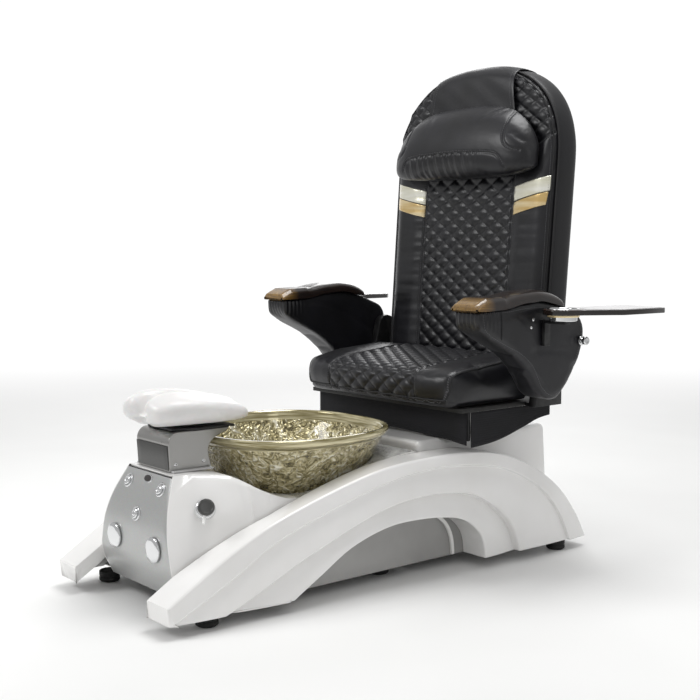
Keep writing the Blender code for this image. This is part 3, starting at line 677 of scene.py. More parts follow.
# side view of the base, as (y, z): the ledge's outer edge, the two steps below it and the arch's opening
sideCurves = {
    "ledge": [(-0.715, 0.074), (-0.537, 0.178), (-0.374, 0.248), (-0.11, 0.322), (0.10, 0.341),
              (0.30, 0.333), (0.45, 0.287), (0.58, 0.208), (0.665, 0.115), (0.715, 0.030)],
    "step": [(-0.700, 0.036), (-0.531, 0.122), (-0.395, 0.196), (-0.101, 0.284), (0.090, 0.311),
             (0.250, 0.303), (0.371, 0.277), (0.497, 0.213), (0.580, 0.130), (0.635, 0.030)],
    "band": [(-0.560, 0.030), (-0.472, 0.066), (-0.325, 0.133), (-0.100, 0.214), (0.060, 0.238),
             (0.199, 0.229), (0.279, 0.203), (0.354, 0.152), (0.402, 0.090), (0.423, 0.030)],
    "opening": [(-0.360, 0.030), (-0.275, 0.081), (-0.177, 0.137), (-0.060, 0.170), (0.050, 0.175),
                (0.150, 0.166), (0.215, 0.148), (0.262, 0.112), (0.284, 0.075), (0.291, 0.030)],
}
# front edge of the console, as (half-width, y, z) from the bottom up
consoleEdge = [(0.173, -0.612, 0.045), (0.179, -0.633, 0.090), (0.1795, -0.642, 0.125),
    (0.162, -0.642, 0.205), (0.142, -0.627, 0.270), (0.112, -0.592, 0.345)]
baseShape = {
    "frontY": -0.715, "rearY": 0.715,
    "outFront": 0.290, "outRear": 0.355,    # half-width at the toes and at the rear end
    "trunkFront": 0.182, "trunkHalf": 0.233,
    "bottomZ": 0.030, "wall": 0.003,
    "lipUnder": 0.004,                      # how far a band starts under the lip of the one above
    "stations": 120,
}


def trunkHalf(y):
    share = min(max((y + 0.645) / 0.245, 0.0), 1.0)
    return baseShape["trunkFront"] + (baseShape["trunkHalf"] - baseShape["trunkFront"]) * share


def fenderHalf(y):
    share = (y - baseShape["frontY"]) / (baseShape["rearY"] - baseShape["frontY"])
    return baseShape["outFront"] + (baseShape["outRear"] - baseShape["outFront"]) * share


def makeFenders():
    # one moulded skin on each side: ledge, outer strip, two flared bands and the arch's soffit
    shape, floorZ = baseShape, baseShape["bottomZ"]
    count = shape["stations"]
    curves = {name: [tuple(p) for p in smoothCurve(points, count)] for name, points in sideCurves.items()}
    ledge = [(shape["frontY"] + 0.004, floorZ)] + curves["ledge"]
    step = [(-0.690, floorZ)] + curves["step"]
    band = [(-0.572, floorZ)] + curves["band"]
    opening = [(-0.370, floorZ)] + curves["opening"]
    soffitX = shape["trunkHalf"] + 0.0105
    grid = []
    for (ay, az), (by, bz), (cy, cz), (dy, dz) in zip(ledge, step, band, opening):
        innerX, low = trunkHalf(ay) + 0.0038, shape["lipUnder"]
        row = [(innerX, ay, max(floorZ, az - 0.045)), (innerX, ay, az), (fenderHalf(ay) - 0.010, ay, az),
            (fenderHalf(by), by, bz), (fenderHalf(by) - 0.010, by, max(bz - low, floorZ)),
            (fenderHalf(cy), cy, cz), (fenderHalf(cy) - 0.024, cy, max(cz - low, floorZ)),
            (fenderHalf(dy) - 0.004, dy, dz), (soffitX, dy, dz)]
        # the strip and the bands bow out a little between their edges
        for index, bow in ((6, 0.004), (4, 0.003)):
            a, b = Vector(row[index]), Vector(row[index + 1])
            row.insert(index + 1, tuple((a + b) / 2 + Vector((bow, 0, 0))))
        grid.append(roundCorners(row, [0, 0.003, 0.007, 0.006, 0.003, 0.05, 0.006, 0.003, 0.05, 0.006, 0], 4))
    right = gridObject("sideFenderRight", grid, gelcoat, outward=(1, 0, 0.4))
    thicken(right, shape["wall"], -1)
    addModifier(right, "WEIGHTED_NORMAL", keep_sharp=True)
    bake(right)
    left = mirrorOf(right, "sideFenderLeft")
    place(right, "base", "white_gelcoat", "side_fender_right")
    place(left, "base", "white_gelcoat", "side_fender_left")


def makeArchLinings():
    # the wall inside each arch, its grey colour painted shade of the recess, with the pale rib that closes
    # its rear end
    low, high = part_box("arch_lining_right")
    curve = smoothCurve(sideCurves["opening"][1:-1], 40)
    outline = [(low.y, low.z)] + [(y * 1.04, z + 0.012) for y, z in curve] + [(high.y, low.z)]
    wall = prism("archWallRight", outline, low.x, high.x, "X", paintedShadeGelcoat, edge=0.001)
    ribX = high.x + 0.004
    route = [(ribX, y, z) for y, z in smoothCurve([(0.120, 0.172), (0.170, 0.158), (0.212, 0.128),
        (0.236, 0.085), (0.243, 0.034)], 30)]
    section = profileOf([(-0.005, -0.005), (0.005, -0.005), (0.005, 0.005), (-0.005, 0.005)], 0.0025, 3,
        closed=True)
    rib = sweep("archRibRight", route, section, gelcoat, up=(1, 0, 0))
    for obj, name, label, node in ((wall, "grey_gelcoat", "archWallLeft", "arch_lining"),
            (rib, "white_gelcoat", "archRibLeft", None)):
        twin = mirrorOf(obj, label)
        place(obj, "base", name, *([node + "_right"] if node else []))
        place(twin, "base", name, *([node + "_left"] if node else []))


consoleShape = {
    # (y, top edge's half-width) and (y, top edge's height) of the upper shell behind its front edge
    "halves": [(-0.545, 0.124), (-0.478, 0.165), (-0.452, 0.186), (-0.444, 0.196), (-0.390, 0.222),
               (-0.330, 0.229), (0.114, 0.229)],
    "tops": [(-0.545, 0.346), (-0.478, 0.341), (-0.452, 0.333), (-0.390, 0.297), (-0.330, 0.275),
             (-0.285, 0.271), (-0.235, 0.275), (-0.160, 0.294), (-0.080, 0.318), (0.010, 0.336),
             (0.080, 0.343), (0.114, 0.345)],
    "cornerRound": 0.009, "rimTurn": 0.0045, "pocketZ": 0.125,
}


def bowlHalfAt(z):
    # outer half-width of the bowl at a height
    low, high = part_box("bowl")
    sizes = [(0.0, 0.46), (0.030, 0.540), (0.110, 0.700), (0.190, 0.850), (0.245, 0.950), (0.262, 1.0),
        (0.270, 1.0)]
    return high.x * between(sizes, z - low.z)


def bowlReach(y, z):
    # how far out the bowl's wall stands at a distance along the base, or nothing past its ends
    low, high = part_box("bowl")
    half, middle = bowlHalfAt(z), (low.y + high.y) / 2
    share = abs(y - middle) / (half * 1.01)
    return half * (1 - share ** 2.5) ** 0.4 if share < 1 else 0.0


def makeConsole():
    # the upper shell: console sides, deck and the round pocket that holds the bowl
    shape = consoleShape
    # where the deck's hole for the bowl begins and ends
    clear = 0.004
    ys = np.linspace(-0.46, 0.11, 571)
    inside = [y for y in ys if bowlReach(y, between(shape["tops"], y)) > 0]
    first, last = inside[0] - clear, inside[-1] + clear
    stations = [(y, False) for y in np.linspace(-0.545, first - 0.0006, 22)]
    stations += [((first + last) / 2 - (last - first) / 2 * cos(pi * step / 60), True) for step in range(61)]
    stations += [(y, False) for y in np.linspace(last + 0.0006, 0.114, 5)]

    rows = []
    edge = [tuple(point) for point in consoleEdge]
    topX, topY, topZ = edge[-1]
    turn = shape["rimTurn"]
    bent = [tuple(p) for p in roundCorners(edge, 0.03, 5)]
    across = [(topX - 0.012, topY, topZ), (topX * 0.5, topY, topZ), (0.0, topY, topZ)]
    rows.append([(x - turn, y + 0.001, z) for x, y, z in bent] + [(x, y, z - turn) for x, y, z in across])
    rows.append([(x - turn, y - 0.0005, z) for x, y, z in bent] + across)
    rows.append([(x - turn * 0.3, y - 0.0003, z) for x, y, z in bent]
        + [(x, y + turn * 0.7, z + 0.0008) for x, y, z in across])
    rows.append([(x, y + turn * 0.6, z) for x, y, z in bent]
        + [(x, y + turn * 1.3, z + 0.001) for x, y, z in across])
    sideCount = len(bent)
    for y, hole in stations:
        half, top = between(shape["halves"], y), between(shape["tops"], y)
        bottomX, bottomZ = trunkHalf(y), min(heightOn(sideCurves["ledge"], y), top) - 0.030
        row = []
        for index in range(sideCount):
            share = index / (sideCount - 1)
            bulge = 0.010 * sin(pi * share) * (top - bottomZ) / 0.2 * (half < 0.2)
            x = bottomX + (half - bottomX) * share ** 1.6 + bulge
            row.append((x, y, bottomZ + (top - bottomZ) * share))
        # roll the top edge over into the deck
        rolled = shape["cornerRound"]
        x, _, z = row[-1]
        row[-1] = (x - rolled * 0.3, y, z - rolled * 0.25)
        row[-2] = (row[-2][0], y, min(row[-2][2], z - rolled))
        if hole:
            reach = min(bowlReach(y, top) + clear, half - 0.014)
            reach = max(reach, 0.002)
            row += [(max(half - 0.012, reach + 0.001), y, top), (reach, y, top - 0.001),
                (reach * 0.995, y, top - 0.006), (reach * 0.985, y, shape["pocketZ"]),
                (0.0, y, shape["pocketZ"])]
        else:
            row += [(half - 0.012, y, top), (half * 0.5, y, top), (half * 0.4, y, top), (half * 0.2, y, top),
                (0.0, y, top)]
        rows.append(row)
    width = max(len(row) for row in rows)
    rows = [row[:-1] + [row[-1]] * (width - len(row) + 1) for row in rows]
    grid = [row + [(-x, y, z) for x, y, z in reversed(row[:-1])] for row in rows]
    shell = gridObject("consoleShell", grid, [gelcoat, flakeResinPaintedGlints], outward=(0, 0, 1))
    # the deck's upper faces take the resin whose grey to white colour is painted glints
    for face in shell.data.polygons:
        centre = face.center
        if face.normal.z > 0.6 and centre.y > -0.30 and abs(centre.x) > 0.02 and centre.z > 0.2:
            face.material_index = 1
    thicken(shell, baseShape["wall"], -1)
    bake(shell)
    place(shell, "base", "white_gelcoat", "base_shell")


def makePlinth():
    # the block behind the bowl that carries the seat's rails
    low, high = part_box("plinth_shell")
    lean, edgeRound = 0.012, 0.014
    front = [(-high.x, low.y, low.z), (high.x, low.y, low.z), (high.x, high.y, low.z),
        (-high.x, high.y, low.z)]
    corners = [tuple(p) for p in roundCorners(front, 0.016, 5, closed=True)]
    grid = [(0, 0), (0.5, lean * 0.5), (0.95, lean * 0.95)]
    for step in range(1, 6):
        angle = pi / 2 * step / 5
        grid.append((0.955 + 0.045 * sin(angle), lean + edgeRound * (1 - cos(angle))))
    grid.append((1.0, 0.10))
    middle = Vector((0, (low.y + high.y) / 2, 0))
    rows = []
    for share, inset in grid:
        z = low.z + (high.z - low.z) * share
        scale = Vector(((high.x - inset) / high.x, 1 - inset / ((high.y - low.y) / 2), 1))
        rows.append([Vector((x * scale.x, middle.y + (y - middle.y) * scale.y, z)) for x, y, _ in corners])
    rows.append([Vector((p.x * 0.02, middle.y + (p.y - middle.y) * 0.02, high.z)) for p in rows[-1]])
    block = gridObject("plinthShell", rows, gelcoat, wrap=True, outward=(0, 0, 1))
    thicken(block, baseShape["wall"], -1)
    bake(block)
    place(block, "base", "white_gelcoat", "plinth_shell")


def footOf(low, high):
    # middle of a box's underside
    return Vector(((low.x + high.x) / 2, (low.y + high.y) / 2, low.z))


def panelSpot(low, high, share, x):
    # place and outward direction on one flat of the console's front
    low, high = Vector(low[1:]), Vector(high[1:])
    middle, along = low.lerp(high, share), (high - low).normalized()
    return Vector((x, middle[0], middle[1])), Vector((0, -along[1], along[0]))


def makePanel():
    # silver sheet on the console's front, inside the shell's white edge
    inset = 0.0052
    rows = [(x - inset, y, z) for x, y, z in consoleEdge]
    before, last = Vector(rows[-2]), Vector(rows[-1])
    rows[-1] = tuple(before.lerp(last, 0.92))
    bent = roundCorners(rows, 0.03, 6)
    grid = [[(p.x * (2 * step / 16 - 1), p.y - 0.0008, p.z) for step in range(17)] for p in bent]
    panel = gridObject("consolePanel", grid, panelPaint, outward=(0, -1, 0.2))
    thicken(panel, 0.0025, -1)
    addModifier(panel, "BEVEL", width=0.0008, segments=2, limit_method="ANGLE")
    bake(panel)
    place(panel, "base", "silver_paint", "console_panel")
    badgeAt, out = panelSpot(consoleEdge[4], consoleEdge[5], 0.72, 0.006)
    side = Vector((1, 0, 0))
    lift = out.cross(side)
    ovals = {"badgeRim": (0.0205, 0.0120, 0.0032, chrome), "badgeFace": (0.0172, 0.0092, 0.0038, darkEdge)}
    for name, (halfWidth, halfHeight, high, finish) in ovals.items():
        grid = []
        for inner, level in ((1.0, 0.0), (1.0, high * 0.6), (0.93, high), (0.5, high + 0.0003),
                (0.02, high + 0.0004)):
            grid.append([badgeAt + out * level + side * halfWidth * inner * cos(a)
                + lift * halfHeight * inner * sin(a) for a in (2 * pi * step / 40 for step in range(40))])
        oval = gridObject(name, grid, finish, wrap=True, capped=True)
        place(oval, "base", "chrome_plate" if name == "badgeRim" else "black_plastic")


controlShape = {
    "bezelRadius": 0.019, "capRadius": 0.0130, "capLow": 0.0034, "capHigh": 0.0090, "discRadius": 0.0325,
}


def makeControls():
    size = controlShape
    spots = {"jet": (4, -0.080), "light": (4, 0.080), "drain": (3, 0.0)}
    for name, (flat, x) in spots.items():
        at, out = panelSpot(consoleEdge[flat], consoleEdge[flat + 1], 0.5, x)
        r = size["bezelRadius"]
        profile = profileOf([(0.0138, 0.0), (r, 0.0), (r, 0.0022), (r - 0.0022, 0.0042), (0.0152, 0.0042),
            (0.0145, 0.0030), (0.0138, 0.0030)], 0.0006, 3, closed=True)
        bezel = lathe(name + "Bezel", profile, at + out * 0.0006, out, chrome)
        place(bezel, "base", "chrome_plate")
        r, low, high = size["capRadius"], size["capLow"], size["capHigh"]
        profile = profileOf([(0, low), (r, low), (r, high - 0.0018), (r - 0.0025, high), (0.0078, high),
            (0.0072, high - 0.0012), (0.0060, high - 0.0012), (0.0054, high), (0.0024, high + 0.0002),
            (0, high + 0.0003)], 0.0005, 3)
        cap = lathe(name + "ButtonCap", profile, at, out, chrome)
        place(cap, name + "_button", "chrome_plate", name + "_button")
    for name, side in (("hot", -1), ("cold", 1)):
        at, out = panelSpot(consoleEdge[2], consoleEdge[3], 0.5, side * 0.098)
        r = size["discRadius"]
        profile = profileOf([(0, 0.0006), (0.026, 0.0006), (0.027, 0.0022), (r - 0.0006, 0.0022),
            (r, 0.0040), (r, 0.0072), (r - 0.0035, 0.0090), (0.024, 0.0103), (0.012, 0.0115), (0, 0.0120)],
            0.0012, 4)
        disc = lathe(name + "WaterKnob", profile, at, out, chrome, steps=80)
        place(disc, name + "_knob", "chrome_plate", name + "_water_knob")
        mark = [at + out * 0.0098 + Vector((0, 0, 1)) * h for h in (0.018, 0.022, 0.0255)]
        dot = sweep(name + "KnobMark", [m + out * (0.0004 - 0.0007 * i) for i, m in enumerate(mark)],
            circle(0.0008, 8), darkEdge, up=(1, 0, 0))
        place(dot, name + "_knob", "black_plastic")


# where the mixer's axis leaves the console's side, and which way it points
mixerShape = {"at": (0.182556, -0.547316, 0.267583), "out": (0.82703, -0.37866, 0.41549)}


def makeMixer():
    # water mixer on the console's right side: collar, turning handle and its small lever
    at, out = Vector(mixerShape["at"]), Vector(mixerShape["out"]).normalized()
    collar = lathe("mixerCollar", profileOf([(0.0087, 0), (0.027, 0), (0.027, 0.003), (0.0235, 0.0105),
        (0.0215, 0.0118), (0.0087, 0.0118)], 0.0012, 4, closed=True), at, out, chrome)
    place(collar, "base", "chrome_plate", "mixer_collar")
    grip = profileOf([(0, 0.001), (0.008, 0.001), (0.008, 0.0126), (0.0208, 0.0126), (0.0208, 0.0290),
        (0.0190, 0.0312), (0.0150, 0.0316), (0.0145, 0.0306), (0, 0.0306)], 0.0008, 3)
    handle = lathe("mixerHandle", grip, at, out, darkSteel, steps=96)
    ring = lathe("mixerRing", profileOf([(0.0205, 0.0150), (0.0214, 0.0154), (0.0214, 0.0184),
        (0.0205, 0.0188)], 0.0005, 3, closed=True), at, out, chrome)
    down = Vector((0, -0.25, -1))
    down = (down - out * down.dot(out)).normalized()
    start = at + out * 0.024 + down * 0.0205
    route = smoothCurve([start, start + down * 0.012 + out * 0.002, start + down * 0.022 + out * 0.006], 10)
    section = [(a * 1.25, b * 0.8) for a, b in circle(0.0034, 12)]
    lever = sweep("mixerLever", route, section, whiteLever, up=tuple(out))
    addModifier(lever, "BEVEL", width=0.001, segments=3, limit_method="ANGLE")
    bake(lever)
    place(handle, "mixer", "black_plastic", "mixer_handle")
    place(ring, "mixer", "chrome_plate")
    place(lever, "mixer", "chrome_plate", "mixer_lever")


bowlShape = {
    "power": 2.5, "stretch": 1.01, "around": 168,
    # outer wall as (height, share of the rim's half-width), with the rolled lip at the top
    "outer": [(0.0, 0.40), (0.0, 0.455), (0.010, 0.488), (0.030, 0.540), (0.070, 0.622), (0.110, 0.700),
              (0.150, 0.776), (0.190, 0.850), (0.225, 0.915), (0.238, 0.936), (0.243, 0.944), (0.247, 0.962),
              (0.252, 0.984), (0.258, 0.997), (0.263, 1.0), (0.268, 0.996), (0.270, 0.985)],
    "inner": [(0.270, 0.955), (0.266, 0.940), (0.256, 0.930), (0.235, 0.906), (0.190, 0.820), (0.110, 0.670),
              (0.034, 0.515), (0.016, 0.44), (0.0088, 0.36), (0.0080, 0.20), (0.0080, 0.01)],
    "dent": 0.0042,
}


def makeBowl():
    # foot bowl cast against crumpled foil: smooth rolled lip, dented walls inside and out
    low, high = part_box("bowl")
    shape, middle = bowlShape, (low.y + high.y) / 2
    outer = [tuple(p) for p in smoothCurve(shape["outer"], 64)]
    inner = [tuple(p) for p in smoothCurve(shape["inner"], 56)]
    grid = []
    for part, rows in ((1, outer), (-1, inner)):
        for height, size in rows:
            half = high.x * size
            ring = []
            for step in range(shape["around"]):
                angle = 2 * pi * step / shape["around"]
                c, s = cos(angle), sin(angle)
                out = Vector((copysign(abs(c) ** (2 / shape["power"]), c),
                    copysign(abs(s) ** (2 / shape["power"]), s) * shape["stretch"], 0))
                point = Vector((0, middle, low.z + height)) + out * half
                # the dents fade out towards the lip and the floor
                fade = min(1.0, max(0.0, (0.236 - height) / 0.02)) * min(1.0,
                    max(0.0, (height - 0.012) / 0.02))
                field = point * 46 + Vector((0, 0, 7 * part))
                dent = noise.noise(field) * 0.7 + abs(noise.noise(field * 2.1)) * 0.8 - 0.5
                ring.append(point + out.normalized() * dent * shape["dent"] * fade * (0.6 if part < 0
                    else 1.0))
            grid.append(ring)
    bowl = gridObject("footBowl", grid, [goldResinPaintedGlints, goldLip], wrap=True, capped=True)
    for face in bowl.data.polygons:
        face.material_index = int(face.center.z > low.z + 0.2405)
    place(bowl, "base", "gold_resin", "bowl")
    low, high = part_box("jet_cover")
    at = footOf(low, high)
    profile = profileOf([(0, 0), (0.0395, 0), (0.040, 0.010), (0.033, 0.0172), (0.026, 0.0178),
        (0.0255, 0.0150), (0.0235, 0.0150), (0.0230, 0.0184), (0.010, 0.0196), (0.0095, 0.0175),
        (0, 0.0175)], 0.0008, 3)
    place(lathe("jetCover", profile, at, (0, 0, 1), chrome), "base", "chrome_plate", "jet_cover")
    # painted shade: each slot in the cover is drawn as a thin dark bar on its top
    for index in range(8):
        angle = pi / 4 * index
        out = Vector((cos(angle), sin(angle), 0))
        slot = sweep("jetSlot" + str(index + 1),
            [at + out * r + Vector((0, 0, h)) for r, h in ((0.0125, 0.0197), (0.0165, 0.0194),
            (0.0205, 0.0189))], circle(0.0011, 8), darkEdge, up=(0, 0, 1))
        place(slot, "base", "black_plastic")
    low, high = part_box("drain_strainer")
    at = footOf(low, high)
    profile = profileOf([(0, 0), (0.026, 0), (0.0298, 0.0012), (0.027, 0.0036), (0.021, 0.0038),
        (0.019, 0.0024), (0, 0.0021)], 0.0006, 3)
    place(lathe("drainStrainer", profile, at, (0, 0, 1), chrome), "base", "chrome_plate", "drain_strainer")
    # painted shade: each hole in the strainer is drawn as a thin dark disc on its face
    for ring, count in ((0.0062, 5), (0.0130, 10)):
        for index in range(count):
            angle = 2 * pi * index / count
            spot = at + Vector((ring * cos(angle), ring * sin(angle), 0.0021))
            hole = lathe("strainerHole%d_%d" % (count, index + 1),
                [(0, 0), (0.0016, 0), (0.0016, 0.0004), (0, 0.0004)], spot, (0, 0, 1), darkEdge, 12)
            place(hole, "base", "black_plastic")


housingShape = {
    "halfWidth": 0.079, "bottomZ": 0.3472, "shoulderRadius": 0.030, "edge": 0.0025,
    "screws": [(-0.566, 0.366), (-0.484, 0.368)],    # (y, z) on each side plate
}


def makeHousing():
    # folded steel housing that carries the foot rest, screwed down beside a white strip
    shape = housingShape
    r = shape["shoulderRadius"]
    arcs = [(-0.557 - r * cos(a), 0.417 + r * sin(a)) for a in (radians(step) for step in range(0, 91, 9))]
    neck = roundCorners([(-0.405, 0.447, 0), (-0.412, 0.436, 0), (-0.447, 0.425, 0), (-0.466, 0.408, 0),
        (-0.470, 0.390, 0), (-0.459, shape["bottomZ"], 0)], 0.010, 4)
    outline = [(-0.583, shape["bottomZ"])] + arcs + [(p.x, p.y) for p in neck]
    wide = shape["halfWidth"]
    housing = prism("footrestHousing", outline, -wide, wide, "X", steel, edge=shape["edge"])
    place(housing, "base", "satin_steel", "footrest_housing")
    # the front is covered by a thin plate of darker steel, just proud of the body: painted shade of the
    # housing's front face
    apron = [(y - 0.0008, z) for y, z in [(-0.5832, 0.352), (-0.5872, 0.414)]]
    grid = [[(x, y, z) for x in np.linspace(-wide + 0.003, wide - 0.003, 8)] for y, z in apron]
    plate = gridObject("housingApron", grid, darkSteel, outward=(0, -1, 0))
    thicken(plate, 0.0012, 1)
    addModifier(plate, "BEVEL", width=0.0004, segments=2, limit_method="ANGLE")
    place(bake(plate), "base", "satin_steel")
    for side, label in ((-1, "Left"), (1, "Right")):
        for index, (y, z) in enumerate(shape["screws"]):
            at = Vector((side * wide, y, z))
            profile = profileOf([(0, 0.0014), (0.0016, 0.0014), (0.0018, 0.0022), (0.0040, 0.0020),
                (0.0052, 0.0004), (0.0052, 0), (0, 0)], 0.0003, 3)
            screw = lathe("housingScrew%s%d" % (label, index + 1), profile, at, (side, 0, 0), chrome, 32)
            place(screw, "base", "chrome_plate")
            # painted shade: the screw's hex socket is drawn as a thin dark disc on its head
            socket = lathe("screwSocket%s%d" % (label, index + 1),
                [(0, 0.0022), (0.0022, 0.0022), (0.0018, 0.0025), (0, 0.0025)], at, (side, 0, 0), darkEdge,
                6)
            place(socket, "base", "black_plastic")
        # white strip along the foot of the side plate
        strip = prism("housingStrip" + label, [(-0.580, 0.3472), (-0.462, 0.3455), (-0.462, 0.3505),
            (-0.580, 0.3520)], *sorted((side * (wide + 0.0004), side * (wide + 0.014))), "X", laminate,
            edge=0.0012)
        place(strip, "base", "white_laminate")
        at = Vector((side * (wide + 0.008), -0.468, 0.3500))
        bolt = lathe("stripBolt" + label,
            profileOf([(0, 0.0030), (0.0040, 0.0026), (0.0050, 0.0008), (0.0050, 0), (0, 0)], 0.0006, 3), at,
            (0, 0, 1), chrome, 32)
        place(bolt, "base", "chrome_plate")


padShape = {
    # (y, half-width, bottom, top) of the pad before it swells, front to back
    "sections": [(-0.634, 0.060, 0.476, 0.502), (-0.618, 0.094, 0.462, 0.522), (-0.570, 0.114, 0.458, 0.536),
                 (-0.480, 0.124, 0.458, 0.531), (-0.400, 0.127, 0.458, 0.514), (-0.368, 0.114, 0.4595, 0.500),
                 (-0.357, 0.090, 0.465, 0.486)],
    "voxel": 0.005, "swell": 0.005,
}


def makeFootPad():
    # white foot rest: two swollen lobes beside a middle valley, on a black plate
    shape = padShape
    rings = []
    for station, half, low, high in smoothRows(shape["sections"], 34):
        middle = (low + high) / 2
        ring = []
        for step in range(72):
            angle = 2 * pi * step / 72
            c, s = cos(angle), sin(angle)
            x, y = half * copysign(abs(c) ** 0.8, c), station
            z = middle + (high - low) / 2 * copysign(abs(s) ** 0.7, s)
            if s > 0:
                # the valley between the lobes, and a bolster across the far end
                valley = 0.036 * exp(-(x / 0.019) ** 2) - 0.006 * exp(-((abs(x) - 0.044) / 0.018) ** 2)
                dish = 0.006 * exp(-((abs(x) - 0.080) / 0.022) ** 2) * exp(-((y + 0.46) / 0.07) ** 2)
                z = max(z - (valley + dish) * s, low + 0.006)
            # the front edge is notched between the lobes
            y = y + 0.034 * exp(-(x / 0.024) ** 2) * min(1.0, max(0.0, (-0.57 - y) / 0.06))
            ring.append((x, y, z))
        rings.append(ring)
    pad = gridObject("footrestPad", rings, vinyl, wrap=True, capped=True)
    puff(pad, shape["voxel"], shape["swell"], lambda points: points[:, 2] < 0.461)
    place(pad, "footrest", "white_vinyl", "footrest_pad")
    refine(["footrest_plate"], "footrest", blackSteel, 0.001)


def smoothRows(points, count):
    # a smooth curve through rows of any length
    rows = np.array(points, float)
    ends = np.vstack([rows[:1], rows, rows[-1:]])
    found = []
    for step in range(count):
        along = step * (len(rows) - 1) / (count - 1)
        index = min(int(along), len(rows) - 2)
        t = along - index
        p0, p1, p2, p3 = ends[index:index + 4]
        found.append(0.5 * (2 * p1 + (p2 - p0) * t + (2 * p0 - 5 * p1 + 4 * p2 - p3) * t * t
            + (3 * p1 - p0 - 3 * p2 + p3) * t ** 3))
    return found


def makeFeetAndWorks():
    feet = [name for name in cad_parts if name.startswith("foot_")]
    for name in feet:
        low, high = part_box(name)
        at = Vector(((low.x + high.x) / 2, (low.y + high.y) / 2, 0))
        r, top = (high.x - low.x) / 2, high.z
        profile = profileOf([(0, 0), (r - 0.005, 0), (r, 0.004), (r, 0.012), (r - 0.002, 0.0135),
            (r - 0.002, 0.0155), (r, 0.017), (r, top - 0.002), (r - 0.002, top), (0, top)], 0.001, 3)
        label = "".join(word.capitalize() for word in name.split("_")[1:])
        place(lathe("levelFoot" + label, profile, at, (0, 0, 1), rubber, 48), "base", "black_rubber", name)
    refine(["base_frame", "supply_box", "jet_motor"], "base", blackSteel, 0.0015)
    refine(["seat_rail_left", "seat_rail_right"], "base", steel, 0.0012)
    refine(["drain_hose"], "base", rubber, 0.0006)


makeFenders()
makeArchLinings()
makeConsole()
makePlinth()
makePanel()
makeControls()
makeMixer()
makeBowl()
makeHousing()
makeFootPad()
makeFeetAndWorks()
print("base made")


seatShape = {
    "frontRound": 0.026, "sideRound": 0.026, "inset": -0.002,
    "quiltHalf": 0.188, "diamondWide": 0.0627, "diamondHigh": 0.046, "quiltDeep": 0.0078,
    "voxel": 0.007, "swell": 0.009,
}


def quiltHeight(a, b, wide, high):
    # 0 along the stitched lines, 1 in the middle of each diamond
    u, v = a / wide + b / high, a / wide - b / high
    return np.abs(np.sin(np.pi * u) * np.sin(np.pi * v)) ** 0.38


def groove(distance, width):
    return np.exp(-(distance / width) ** 2)


def foldField(points, scale, seed):
    # smooth noise for wrinkles, read at stretched places
    return np.array([noise.noise(Vector(p) + Vector((seed, seed * 0.7, seed * 1.3)))
        for p in points * np.array(scale)])


